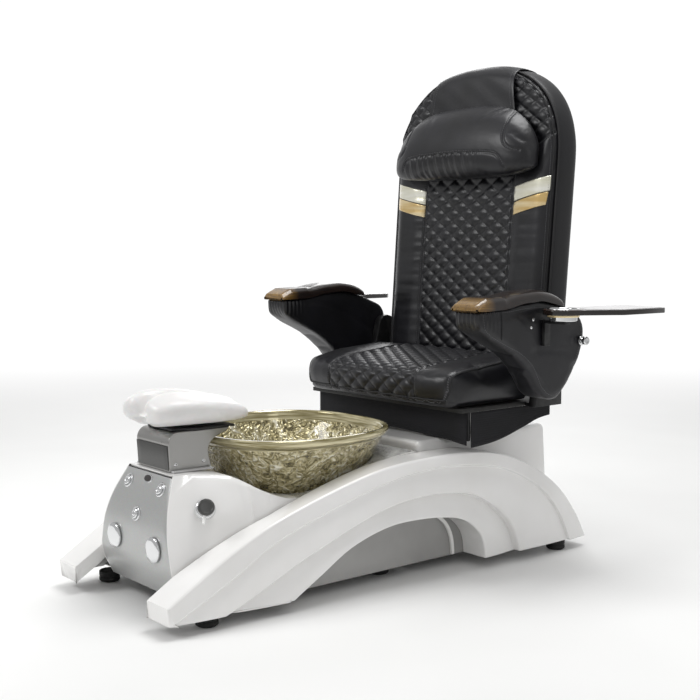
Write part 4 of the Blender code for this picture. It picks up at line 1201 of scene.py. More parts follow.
def makeSeatCushion():
    shape = seatShape
    low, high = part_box("seat_cushion")
    frontY, rearY, half = low.y + 0.006, high.y, high.x - shape["inset"]
    bottom = low.z + 0.001
    side = [(frontY + 0.020, bottom), (frontY + 0.006, 0.490), (frontY + 0.001, 0.530),
        (frontY + 0.010, 0.556), (frontY + 0.034, 0.568), (frontY + 0.080, 0.574), (rearY - 0.035, 0.597),
        (rearY - 0.012, 0.594), (rearY - 0.003, 0.570), (rearY - 0.003, bottom)]
    side = profileOf(side, 0.016, 5, closed=True)
    middleY, middleZ = (frontY + rearY) / 2, (bottom + 0.575) / 2
    rings, r = [], shape["sideRound"]
    ends = [pi / 2 * step / 8 for step in range(9)]
    across = [(-half + r * (1 - cos(a)), r * (1 - sin(a))) for a in ends]
    across += [(x, 0.0) for x in np.linspace(-half + r * 2, half - r * 2, 12)]
    across += [(-x, inset) for x, inset in reversed(across[:9])]
    for x, inset in across:
        back = shape["frontRound"] * (abs(x) / half) ** 7
        ring = []
        for y, z in side:
            fromFront = max(0.0, 1 - (y - frontY) / 0.10)
            scaleY = 1 - inset / ((rearY - frontY) / 2)
            scaleZ = 1 - inset / ((0.575 - bottom) / 2) * 0.8
            ring.append((x, middleY + (y - middleY) * scaleY + back * fromFront,
                middleZ + (z - middleZ) * scaleZ))
        rings.append(ring)
    seat = gridObject("seatCushion", rings, leather, wrap=True, capped=True)

    def held(points):
        x, y, z = points.T
        quilted = (np.abs(x) < shape["quiltHalf"] + 0.006) & (y < rearY - 0.02)
        return quilted | (z < bottom + 0.012) | (y > rearY - 0.012)
    puff(seat, shape["voxel"], shape["swell"], held)

    points, normals = coordinatesOf(seat), normalsOf(seat)
    x, y, z = points.T
    shown = np.clip((np.maximum(-normals[:, 1], normals[:, 2]) - 0.25) / 0.3, 0, 1)
    shown *= np.clip((z - bottom - 0.008) / 0.01, 0, 1)
    along = (y - frontY) + (z - 0.566)
    quilted = np.clip((shape["quiltHalf"] - np.abs(x)) / 0.006, 0, 1)
    lift = quilted * (quiltHeight(x, along, shape["diamondWide"], shape["diamondHigh"])
        - 0.55) * shape["quiltDeep"]
    lift -= 0.0050 * groove(np.abs(x) - shape["quiltHalf"], 0.0045)
    lift += (1 - quilted) * 0.0012 * foldField(points, (9, 22, 22), 3.1)
    # the front face tucks in under the lower piping
    lift -= 0.003 * groove(z - (bottom + 0.016), 0.004) * (normals[:, 1] < -0.2)
    setCoordinates(seat, points + normals * (lift * shown)[:, None])
    place(seat, "seat", "black_leather", "seat_cushion")

    surface = surfaceOf(seat)
    sideX, lowZ = half - 0.001, bottom + 0.014
    corner = 0.035
    right = [(sideX, rearY - 0.02, 0.600), (sideX, middleY, 0.588), (sideX, frontY + 0.09, 0.575),
        (sideX, frontY + 0.040, 0.565), (sideX, frontY + 0.020, 0.545), (sideX, frontY + 0.020, 0.510),
        (sideX - 0.004, frontY + 0.020, lowZ + corner), (sideX - 0.014, frontY + 0.014, lowZ + 0.010),
        (sideX - corner, frontY + 0.008, lowZ), (half * 0.5, frontY, lowZ)]
    route = right + [(0, frontY, lowZ)] + [(-px, py, pz) for px, py, pz in reversed(right)]
    route = smoothCurve(route, 240)
    welt, ups = [], []
    for point in route:
        hit, normal, _, _ = surface.find_nearest(point)
        welt.append(hit + normal * 0.0010)
        ups.append(tuple(normal))
    piping = sweep("seatPiping", evenly(welt, 0.006), circle(0.0026, 8), blackThread, up=(0.31, 0.12, 0.94))
    place(piping, "seat", "black_leather")
    for index, offset in enumerate((0.0065, 0.0105)):
        row = []
        for point, up in zip(route, ups):
            inward = Vector((-point.x, middleY - point.y, middleZ + 0.02 - point.z))
            inward = (inward - Vector(up) * inward.dot(Vector(up))).normalized()
            hit, normal, _, _ = surface.find_nearest(point + inward * offset)
            row.append(hit + normal * 0.0003)
        place(stitches("seatStitches" + str(index + 1), row, thread), "seat", "black_leather")
    for side, label in ((-1, "Left"), (1, "Right")):
        seam = [(side * (shape["quiltHalf"] + 0.006), frontY - 0.03, z) for z in np.linspace(bottom + 0.02,
            0.553, 24)]
        first, _ = layOn(surface, seam, (0, 1, 0), 0.0003)
        seam = [(side * (shape["quiltHalf"] + 0.006), py, 0.7) for py in np.linspace(frontY + 0.02,
            rearY - 0.02, 60)]
        second, _ = layOn(surface, seam, (0, 0, -1), 0.0003)
        sew("seatSeam" + label, first + second, "seat")


skirtShape = {"wave": 0.0016, "cloth": 0.0014}


def skirtSheet(name, top, bottom, fixedAxis, level, body, node):
    # hanging cloth between a top line and a shaped lower edge, with a turned hem
    columns, rows = 72, 14
    grid = []
    for row in range(rows):
        share = row / (rows - 1)
        line = []
        for column in range(columns):
            along = column / (columns - 1)
            a = top[0] + (top[1] - top[0]) * along
            z = top[2] + (between(bottom, a) - top[2]) * share
            wave = skirtShape["wave"] * share * (sin(a * 34) * 0.6
                + noise.noise(Vector((a * 14, share * 2, 4))))
            offset = level + wave
            line.append((a, offset, z) if fixedAxis == "Y" else (offset, a, z))
        grid.append(line)
    sheet = gridObject(name, grid, skirtCloth, outward=(0, -1, 0) if fixedAxis == "Y" else (level, 0, 0))
    thicken(sheet, skirtShape["cloth"], 0)
    bake(sheet)
    place(sheet, body, "black_fabric", node)
    fold = grid[-2][2:-2]
    lift = -0.0012 if fixedAxis == "Y" or level < 0 else 0.0012
    rows = [Vector(point) + (Vector((0, lift, 0.004)) if fixedAxis == "Y" else Vector((lift, 0, 0.004)))
        for point in fold]
    hem = stitches(name + "Hem", rows, blackThread, pitch=0.006, radius=0.0007)
    place(hem, body, "black_fabric")


def makeSkirts():
    low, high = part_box("skirt_front")
    top = (low.x, high.x, high.z)
    bottom = [(low.x, low.z), (low.x * 0.61, low.z + 0.010), (0.0, low.z + 0.0155),
        (high.x * 0.61, low.z + 0.010), (high.x, low.z)]
    skirtSheet("skirtFront", top, bottom, "Y", (low.y + high.y) / 2, "seat", "skirt_front")
    for label in ("left", "right"):
        low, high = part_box("skirt_" + label)
        top = (low.y, high.y, high.z)
        bottom = [(0.226, 0.353), (0.330, 0.362), (0.430, 0.388), (0.500, 0.408), (0.556, 0.416)]
        skirtSheet("skirt" + label.capitalize(), top, bottom, "X", (low.x + high.x) / 2, "seat",
            "skirt_" + label)
    # a square post closes each front corner, behind the slit between two skirts
    low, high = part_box("skirt_right")
    for label, side in (("Left", -1), ("Right", 1)):
        corner = [(side * x, y) for x, y in ((0.3195, 0.2175), (0.3293, 0.2175), (0.3293, 0.2272),
            (0.3195, 0.2272))]
        post = prism("cornerPost" + label, corner, 0.372, high.z, "Z", blackSteel, edge=0.001)
        place(post, "seat", "black_steel")
    refine(["seat_board"], "seat", board, 0.0015)
    refine(["slide_carriage", "arm_bracket_left", "arm_bracket_right"], "seat", blackSteel,
        0.0015)


backShape = {
    "half": 0.345, "bottomZ": 0.515, "shoulderZ": 1.165, "topZ": 1.455, "lean": radians(4.4),
    "quiltHalf": 0.187, "diamondWide": 0.0627, "diamondHigh": 0.043, "quiltDeep": 0.0082,
    # the arch's lower seam, at the quilt's edge, and how fast it climbs
    "seamZ": 1.170, "seamRise": 0.50,
    "voxel": 0.008, "swell": 0.010,
}


def backY(z):
    return 0.494 + (z - backShape["bottomZ"]) * tan(backShape["lean"])


def backOutline(inset, bottomInset=0.0, steps=40):
    # straight sides under a half-round top, from the lower left corner round to the lower right one
    shape = backShape
    half, bottom, shoulder = shape["half"] - inset, shape["bottomZ"] + bottomInset, shape["shoulderZ"]
    top = shape["topZ"] - inset
    outline = [(-half * (0.985 + 0.015 * share ** 0.7), bottom + (shoulder - bottom) * share)
        for share in np.linspace(0, 0.95, 16)]
    for step in range(steps + 1):
        angle = pi - pi * step / steps
        outline.append((half * copysign(abs(cos(angle)) ** 0.78, cos(angle)),
            shoulder + (top - shoulder) * sin(angle) ** 0.9))
    return outline + [(-x, z) for x, z in reversed(outline[:16])]


def backRing(inset, depth, bottomInset=0.0):
    return [(x, backY(z) + depth, z) for x, z in backOutline(inset, bottomInset)]


def archSeamZ(x):
    # height of the seam between the plain bolsters and the quilted arch above them
    return backShape["seamZ"] + backShape["seamRise"] * np.maximum(np.abs(x) - backShape["quiltHalf"], 0)


def makeBackCushion():
    shape = backShape
    rings = [backRing(0.034, 0.007, 0.032), backRing(0.020, 0.009, 0.022), backRing(0.012, 0.015, 0.014),
        backRing(0.009, 0.024, 0.011), backRing(0.008, 0.049, 0.010)]
    cushion = gridObject("backCushion", rings, leather, wrap=True, capped=True)
    lean = tan(shape["lean"])

    def depthOf(points):
        return points[:, 1] - (0.494 + (points[:, 2] - shape["bottomZ"]) * lean)

    def held(points):
        x, _, z = points.T
        quilted = (np.abs(x) < shape["quiltHalf"] + 0.006) | (z > archSeamZ(x) - 0.006)
        return quilted | (depthOf(points) > 0.038)
    puff(cushion, shape["voxel"], shape["swell"], held)

    points, normals = coordinatesOf(cushion), normalsOf(cushion)
    x, _, z = points.T
    shown = np.clip((-normals[:, 1] - 0.15) / 0.35, 0, 1) * (depthOf(points) < 0.04)
    overSeam = (z - archSeamZ(x)) / hypot(1, shape["seamRise"])
    inPanel = np.clip((shape["quiltHalf"] - np.abs(x)) / 0.006, 0, 1)
    inArch = np.clip(overSeam / 0.006, 0, 1)
    quilted = np.maximum(inPanel, inArch)
    lift = quilted * (quiltHeight(x, z, shape["diamondWide"], shape["diamondHigh"])
        - 0.5) * shape["quiltDeep"]
    lift -= 0.0055 * groove(np.abs(x) - shape["quiltHalf"], 0.0045) * (1 - inArch)
    lift -= 0.0050 * groove(overSeam, 0.0045) * (np.abs(x) > shape["quiltHalf"])
    # soft level creases that run out of the panel's seams into the bolsters
    crease = foldField(points, (4, 0, 42), 1.7) + 0.6 * foldField(points, (11, 0, 75), 5.2)
    lift += (1 - quilted) * 0.0022 * crease * np.exp(-np.maximum(np.abs(x) - shape["quiltHalf"], 0) / 0.09)
    setCoordinates(cushion, points + normals * (lift * shown)[:, None])
    place(cushion, "back", "black_leather", "back_cushion")

    surface = surfaceOf(cushion)
    for side, label in ((-1, "Left"), (1, "Right")):
        for index, offset in enumerate((0.0065, -0.0065)):
            x = side * (shape["quiltHalf"] + offset)
            line = [(x, 0, z) for z in np.linspace(shape["bottomZ"] + 0.03, 1.13, 90)]
            row, _ = layOn(surface, line, (0, 1, 0), 0.0003, start=0)
            sew("backSeam%s%d" % (label, index + 1), row, "back")
        line = [(side * x, 0, float(archSeamZ(x)) - 0.006) for x in np.linspace(shape["quiltHalf"], 0.325,
            24)]
        row, _ = layOn(surface, line, (0, 1, 0), 0.0003, start=0)
        sew("archSeam" + label, row, "back")
    return surface


def nearestOn(surface, points, lift):
    found = []
    for point in points:
        hit, normal, _, _ = surface.find_nearest(Vector(point))
        found.append(hit + normal * lift)
    return found


def makeBackPiping(surface):
    front = nearestOn(surface, backRing(0.012, 0.012, 0.014), 0.001)
    place(sweep("backPipingFront", front, circle(0.0028, 8), blackThread, up=(0.02, -1, 0.05), closed=True),
        "back", "black_leather")
    row = nearestOn(surface, backRing(0.020, 0.006, 0.022), 0.0004)
    sew("backEdgeStitches", row, "back")
    rear = backRing(0.0045, 0.0250, 0.0055)
    place(sweep("backPipingRear", rear, circle(0.0034, 8), blackThread, up=(0.02, -1, 0.05), closed=True),
        "back", "black_leather")


def makeBackShell():
    # padded rear casing: a rounded rim with a stitched panel across its back
    outer = [(0.0065, 0.0270, 0.006), (0.0025, 0.0300, 0.003), (0.0, 0.0400, 0.0), (-0.002, 0.0600, 0.0),
        (-0.002, 0.080, 0.0), (0.001, 0.094, 0.001), (0.008, 0.106, 0.005), (0.020, 0.119, 0.012),
        (0.036, 0.129, 0.024), (0.054, 0.1345, 0.036), (0.062, 0.1330, 0.043), (0.070, 0.1350, 0.050),
        (0.110, 0.1375, 0.090), (0.170, 0.1385, 0.150), (0.230, 0.1390, 0.210)]
    inner = [(0.070, 0.1290, 0.052), (0.028, 0.108, 0.018), (0.009, 0.086, 0.007), (0.0105, 0.0320, 0.009)]
    # both skins close on a point in the middle of the rear panel
    heart = []
    for depth in (0.1392, 0.1310):
        middle = Vector((0, backY(0.95) + depth, 0.95))
        heart.append([middle.lerp(Vector(point), 0.004) for point in backRing(0.23, depth, 0.21)])
    grid = [backRing(*entry) for entry in outer] + heart + [backRing(*entry) for entry in inner]
    shell = gridObject("backShell", grid, backLeather, wrap=True, around=True)
    points, normals = coordinatesOf(shell), normalsOf(shell)
    rear = normals[:, 1] > 0.6
    lift = np.where(rear, 0.0016 * foldField(points, (7, 0, 9), 8.3), 0)
    setCoordinates(shell, points + normals * lift[:, None])
    addModifier(shell, "SUBSURF", levels=1, render_levels=1)
    bake(shell)
    place(shell, "back", "black_leather", "back_shell")
    surface = surfaceOf(shell)
    seam = nearestOn(surface, backRing(0.062, 0.136, 0.043), 0.0006)
    place(sweep("rearPanelWelt", seam, circle(0.0026, 8), blackThread, up=(0.02, 1, 0.05), closed=True),
        "back", "black_leather")
    for index, (inset, lowInset) in enumerate(((0.052, 0.034), (0.074, 0.054))):
        row = nearestOn(surface, backRing(inset, 0.137, lowInset), 0.0004)
        sew("rearStitches" + str(index + 1), row + row[:1], "back")
    # zip across the foot of the rear panel, for reaching the massage unit
    teeth = [(x, 0.9, 0.640) for x in np.linspace(-0.20, 0.20, 90)]
    row, _ = layOn(surface, teeth, (0, -1, 0), 0.0008, start=0)
    tape = sweep("zipTape", row, [(-0.009, -0.0008), (0.009, -0.0008), (0.009, 0.0006), (-0.009, 0.0006)],
        skirtCloth, up=(0, 1, 0))
    place(tape, "back", "black_fabric")
    place(stitches("zipTeeth", [p + Vector((0, 0.0012, 0)) for p in row], darkSteel, pitch=0.0045,
        length=0.003, radius=0.0022), "back", "satin_steel")
    refine(["massage_unit"], "back", blackSteel, 0.002)


bandShape = {
    # inner and outer ends of each band, as (distance from the middle, lower z, upper z)
    "inner": (0.1885, 1.000, 1.087), "outer": (0.3300, 1.029, 1.117), "lift": 0.0016, "thick": 0.0012,
}


def makeTrimBands(surface):
    # foil leather bands let into the bolsters: a pale upper strip and a gold lower one
    shape = bandShape
    (x0, low0, high0), (x1, low1, high1) = shape["inner"], shape["outer"]
    strips = {"Upper": (0.47, 1.0, champagne), "Lower": (0.0, 0.465, goldFoil)}
    for side, label in ((-1, "Left"), (1, "Right")):
        made = []
        for strip, (start, end, finish) in strips.items():
            grid = []
            for share in np.linspace(start, end, 12):
                line = []
                for along in np.linspace(0, 1, 26):
                    low, high = low0 + (low1 - low0) * along, high0 + (high1 - high0) * along
                    # the outer end slants, and is nipped in at its middle
                    trim = 0.012 * (1 - share) if strip == "Lower" else 0.012 * (1 - share) * 0.5
                    x = x0 + (x1 - trim - x0) * along
                    line.append((side * x, 0.2, low + (high - low) * share))
                row, _ = layOn(surface, line, (0, 1, 0), shape["lift"], start=0)
                grid.append(row)
            band = gridObject("trimBand%s%s" % (strip, label), grid, finish, outward=(0, -1, 0))
            thicken(band, shape["thick"], -1)
            addModifier(band, "SMOOTH", factor=0.5, iterations=6)
            bake(band)
            made.append(band)
        place(made[0], "back", "champagne_trim", "trim_band_" + label.lower())
        place(made[1], "back", "champagne_trim")


pillowShape = {
    "half": 0.298, "bottomZ": 1.114, "topZ": 1.345, "deep": 0.082, "voxel": 0.006, "swell": 0.009,
    # front seams, as (x, z): the lower gusset, and the right end's curve
    "gusset": [(-0.218, 1.150), (-0.200, 1.178), (-0.160, 1.188), (0.0, 1.192), (0.150, 1.187),
               (0.195, 1.174), (0.216, 1.142)],
    "end": [(0.203, 1.318), (0.206, 1.262), (0.210, 1.224), (0.228, 1.200), (0.262, 1.188)],
}


def makePillow():
    # head pillow: domed top, square bottom, a pleated gusset under its front seam
    shape = pillowShape
    profile = roundCorners([(0.02, -0.93, 0), (0.78, -0.98, 0), (1.0, -0.62, 0), (0.98, 0.05, 0),
        (0.66, 0.66, 0), (0.10, 1.0, 0), (0.0, 0.6, 0)], 0.22, 6, closed=True)
    rings = []
    for share in np.sin(np.linspace(-pi / 2, pi / 2, 41)) * 0.985:
        x = share * shape["half"]
        dome = (1 - abs(share) ** 3.4) ** 0.42
        low = shape["bottomZ"] + 0.030 * abs(share) ** 8
        high = low + (shape["topZ"] - low) * dome
        deep = shape["deep"] * (1 - abs(share) ** 5) ** 0.45
        middle, span = (low + high) / 2, (high - low) / 2
        ring = []
        for p in profile:
            z = middle + p.y * span
            ring.append((x, backY(z) - 0.005 - p.x * deep, z))
        rings.append(ring)
    pillow = gridObject("headPillow", rings, leather, wrap=True, capped=True)

    def held(points):
        lean = tan(backShape["lean"])
        return points[:, 1] > 0.494 + (points[:, 2] - backShape["bottomZ"]) * lean - 0.016
    puff(pillow, shape["voxel"], shape["swell"], held)

    points, normals = coordinatesOf(pillow), normalsOf(pillow)
    x, _, z = points.T
    shown = np.clip((-normals[:, 1] + 0.1) / 0.4, 0, 1)
    seam = np.array([(p.x, p.y) for p in smoothCurve(shape["gusset"], 80)])
    endSeam = np.array([(p.x, p.y) for p in smoothCurve(shape["end"], 50)])
    flat = np.stack([x, z], axis=1)

    def away(line):
        return np.sqrt(((flat[:, None, :] - line[None, :, :]) ** 2).sum(2)).min(1)
    lift = -0.0038 * groove(away(seam), 0.004)
    for line in (endSeam, endSeam * np.array([-1, 1])):
        lift -= 0.0034 * groove(away(line), 0.004)
    below = np.interp(x, seam[:, 0], seam[:, 1]) - z
    inGusset = (np.abs(x) < 0.212) & (below > 0)
    pleats = np.sin(x * 215 + 1.1 * np.sin(x * 57)) ** 3 * np.exp(-np.maximum(below, 0) / 0.034)
    fade = np.clip((0.13 - x) / 0.08, 0, 1) * np.clip((x + 0.22) / 0.03, 0, 1)
    lift += inGusset * pleats * fade * 0.0042
    lift += 0.0018 * foldField(points, (8, 8, 5), 2.4)
    setCoordinates(pillow, points + normals * (lift * shown)[:, None])
    place(pillow, "back", "black_leather", "head_pillow")
    surface = surfaceOf(pillow)
    lines = {"pillowGusset": [(p.x, p.y + 0.0055) for p in smoothCurve(shape["gusset"], 90)],
        "pillowEndRight": [(p.x - 0.0055, p.y) for p in smoothCurve(shape["end"], 50)],
        "pillowEndLeft": [(-p.x + 0.0055, p.y) for p in smoothCurve(shape["end"], 50)]}
    for name, line in lines.items():
        row, _ = layOn(surface, [(a, 0.1, b) for a, b in line], (0, 1, 0), 0.0004, start=0)
        sew(name + "Stitches", row, "back")
    return surface


flapShape = {
    "lowHalf": 0.190, "topHalf": 0.166, "startZ": 1.285, "rearZ": 1.340, "thick": 0.003, "lift": 0.006,
}


def archTop(x, inset=0.0):
    # height of the back's arch at a distance from the middle
    half = backShape["half"] - inset
    c = min(abs(x) / half, 1.0) ** (1 / 0.78)
    return backShape["shoulderZ"] + (backShape["topZ"] - inset - backShape["shoulderZ"]) * (1 - c * c) ** 0.45


def makeFlap():
    # leather flap that holds the pillow: up the front, over the arch and down behind it
    shape = flapShape
    grid = []
    for share in np.linspace(-1, 1, 49):
        route = []
        high = archTop(shape["topHalf"] * share)
        steps = [(shape["startZ"], -0.004), (shape["startZ"] + 0.040, -0.006), (high - 0.045, -0.004),
            (high - 0.014, 0.006), (high + 0.003, 0.030), (high + 0.004, 0.070), (high - 0.004, 0.104),
            (high - 0.026, 0.130), (high - 0.060, 0.1455), (shape["rearZ"], 0.1475)]
        for z, depth in steps:
            half = shape["topHalf"] + (shape["lowHalf"] - shape["topHalf"]) * max(0,
                1 - (z - shape["startZ"]) / 0.14)
            route.append((half * share if depth < 0.02 else shape["topHalf"] * share, backY(z) + depth, z))
        line = smoothCurve(route, 60)
        for index, point in enumerate(line):
            crease = noise.noise(Vector((point.x * 16 + point.z * 22, index * 0.06, 2.0)))
            line[index] = point + Vector((0, -0.0022 if index < 26 else 0.0010, 0)) * crease
        grid.append(line)
    flap = gridObject("pillowFlap", grid, leather, outward=(0, 0, 1))
    thicken(flap, shape["thick"], 0)
    addModifier(flap, "BEVEL", width=0.0008, segments=2, limit_method="ANGLE")
    bake(flap)
    place(flap, "back", "black_leather")
    for label, column in (("Left", 2), ("Right", -3)):
        row = [p + Vector((0, -0.0019, 0)) for p in grid[column][:24]]
        row += [p + Vector((0, 0, 0.0019)) for p in grid[column][25:38]]
        row += [p + Vector((0, 0.0019, 0)) for p in grid[column][40:]]
        sew("flapStitches" + label, row, "back")
    sew("flapHem", [line[2] + Vector((0, -0.002, 0)) for line in grid], "back")


makeSeatCushion()
makeSkirts()
print("seat made")
cushionSurface = makeBackCushion()
makeBackPiping(cushionSurface)
makeBackShell()
makeTrimBands(cushionSurface)
makePillow()
makeFlap()
print("back made")


armShape = {
    "inX": 0.378, "outX": 0.474, "hinge": (0.519, 0.646), "voxel": 0.0055, "swell": 0.003, "edge": 0.011,
    # side view of the padded arm as (y, z), from its front tip along the underside and back over the top
    "underside": [(0.114, 0.694), (0.155, 0.668), (0.200, 0.646), (0.248, 0.622), (0.312, 0.571),
                  (0.362, 0.503), (0.395, 0.483), (0.428, 0.488), (0.473, 0.530), (0.514, 0.593),
                  (0.535, 0.650), (0.534, 0.690)],
    "topline": [(0.516, 0.715), (0.440, 0.744), (0.355, 0.762), (0.275, 0.757), (0.205, 0.744),
                (0.110, 0.741)],
}


def makeArms():
    shape = armShape
    reach = [0.012] + [0.03] * (len(shape["underside"]) - 1) + [0.03] * (len(shape["topline"]) - 1) + [0.006]
    outline = profileOf(shape["underside"] + shape["topline"], reach, 5, closed=True)
    arm = prism("armBodyRight", outline, shape["inX"] + 0.0015, shape["outX"] - 0.0015, "X", leather,
        edge=shape["edge"], segments=4)
    hingeY, hingeZ = shape["hinge"]

    def held(points):
        x, y, z = points.T
        byBracket = (x > shape["outX"] - 0.006) & (np.abs(y - 0.362) < 0.03) & (z > 0.62)
        byHinge = np.hypot(y - hingeY, z - hingeZ) < 0.05
        underCap = z > np.interp(y, [0.11, 0.205, 0.275, 0.355, 0.44, 0.516],
            [0.741, 0.744, 0.757, 0.762, 0.744, 0.715]) - 0.007
        return byBracket | byHinge | (underCap & (y < 0.46))
    puff(arm, shape["voxel"], shape["swell"], held)
    points, normals = coordinatesOf(arm), normalsOf(arm)
    x, y, z = points.T
    # upright pleats gathered under the cap's tip
    tip = np.clip((0.195 - y) / 0.05, 0, 1) * np.clip((z - 0.672) / 0.02, 0, 1)
    across = np.where(normals[:, 1] < -0.5, x, y)
    lift = tip * 0.0016 * np.sin(across * 430) * np.clip((z - 0.68) / 0.05, 0, 1)
    lift += 0.0014 * foldField(points, (14, 14, 14), 6.1)
    setCoordinates(arm, points + normals * lift[:, None])
    surface = surfaceOf(arm)
    row = []
    for y, z in outline:
        middle = Vector((0, 0.36, 0.66))
        toward = (middle - Vector((0, y, z))).normalized() * 0.016
        row.append((0.6, y + toward.y, z + toward.z))
    seam, _ = layOn(surface, row + row[:1], (-1, 0, 0), 0.0004, start=0)
    seamStitches = stitches("armStitchesRight", seam, thread, radius=0.0006)
    tipSeam = [(0.6, 0.192, z) for z in np.linspace(0.664, 0.737, 14)]
    tipSeam, _ = layOn(surface, tipSeam, (-1, 0, 0), 0.0006, start=0)
    tipWelt = sweep("armTipWeltRight", tipSeam, circle(0.0016, 6), blackThread, up=(1, 0, 0))
    screws = []
    for index, (y, z) in enumerate(((0.318, 0.713), (0.310, 0.692))):
        hit, _, _, _ = surface.find_nearest(Vector((shape["outX"], y, z)))
        profile = profileOf([(0, 0.0018), (0.0020, 0.0016), (0.0042, 0.0008), (0.0046, 0), (0, 0)], 0.0003, 2)
        screws.append(lathe("armScrewRight%d" % (index + 1), profile, hit, (1, 0, 0), chrome, 24))
    at = Vector((shape["outX"], hingeY, hingeZ))
    profile = profileOf([(0, 0.0006), (0.014, 0.0006), (0.014, 0.0042), (0.0082, 0.0052), (0.0078, 0.0098),
        (0.0120, 0.0118), (0.0122, 0.0200), (0.0100, 0.0220), (0.0045, 0.0222), (0.0040, 0.0212),
        (0, 0.0212)], 0.0007, 3)
    knob = lathe("armKnobRight", profile, at, (1, 0, 0), chrome, 48)
    cap = makeCap()
    for obj, slotName, node in ((arm, "black_leather", "arm_body"), (cap, "walnut_gloss", "arm_cap"),
            (knob, "chrome_plate", "arm_knob"), (seamStitches, "black_leather", None),
            (tipWelt, "black_leather", None), (screws[0], "chrome_plate", None),
            (screws[1], "chrome_plate", None)):
        twin = mirrorOf(obj, obj.name.replace("Right", "Left"))
        for made, label in ((obj, "right"), (twin, "left")):
            place(made, "arm_" + label, slotName, *([node + "_" + label] if node else []))


capShape = {
    # (y, half-width, bottom z, top z, how round the top is) from the front tip to the rear
    "stations": [(0.1020, 0.0480, 0.7475, 0.7520, 0.0), (0.1035, 0.0520, 0.7440, 0.7560, 0.0),
                 (0.1060, 0.0535, 0.7425, 0.7590, 0.0), (0.1200, 0.0538, 0.7418, 0.7662, 0.0),
                 (0.1380, 0.0540, 0.7416, 0.7740, 0.0), (0.1440, 0.0540, 0.7418, 0.7752, 0.0),
                 (0.1960, 0.0540, 0.7440, 0.7780, 0.05), (0.2080, 0.0536, 0.7448, 0.7778, 0.25),
                 (0.2200, 0.0530, 0.7466, 0.7792, 0.6), (0.2400, 0.0526, 0.7505, 0.7838, 0.9),
                 (0.2760, 0.0522, 0.7575, 0.7892, 1.0), (0.3200, 0.0520, 0.7602, 0.7925, 1.0),
                 (0.3500, 0.0518, 0.7622, 0.7930, 1.0), (0.3900, 0.0510, 0.7555, 0.7882, 1.0),
                 (0.4200, 0.0500, 0.7490, 0.7792, 1.0), (0.4400, 0.0480, 0.7450, 0.7680, 1.0),
                 (0.4450, 0.0450, 0.7440, 0.7620, 1.0)],
    "chamfer": 0.013, "points": 30,
}


def makeCap():
    # lacquered wooden cap: a bevelled block at the tip that runs into a rounded grip
    shape = capShape
    middle = (armShape["inX"] + armShape["outX"]) / 2
    rows = []
    for y, half, low, high, soft in smoothRows(shape["stations"], 90):
        soft = min(max(soft, 0), 1)
        flat = roundCorners([(-half, low, 0), (-half, high - shape["chamfer"], 0),
            (-half + shape["chamfer"], high, 0), (half - shape["chamfer"], high, 0),
            (half, high - shape["chamfer"], 0), (half, low, 0)], 0.0022, 4)
        flat = evenly(flat, 1e-9 + sum((b - a).length for a, b in zip(flat, flat[1:])) / (shape["points"]
            - 1))
        ring = []
        for index in range(shape["points"]):
            angle = pi - pi * index / (shape["points"] - 1)
            c, s = cos(angle), sin(angle)
            oval = Vector((half * copysign(abs(c) ** 0.75, c), low + (high - low) * max(s, 0) ** 0.62, 0))
            point = flat[index].lerp(oval, soft)
            ring.append((middle + point.x, y, point.y))
        rows.append(ring)
    cap = gridObject("armCapRight", rows, walnut, wrap=True, capped=True)
    addModifier(cap, "BEVEL", width=0.0012, segments=2, limit_method="ANGLE", angle_limit=radians(40))
    addModifier(cap, "WEIGHTED_NORMAL", keep_sharp=True)
    return bake(cap)


trayShape = {"x": 0.540, "y": 0.362, "z": 0.728, "thick": 0.014, "discArc": 0.060}


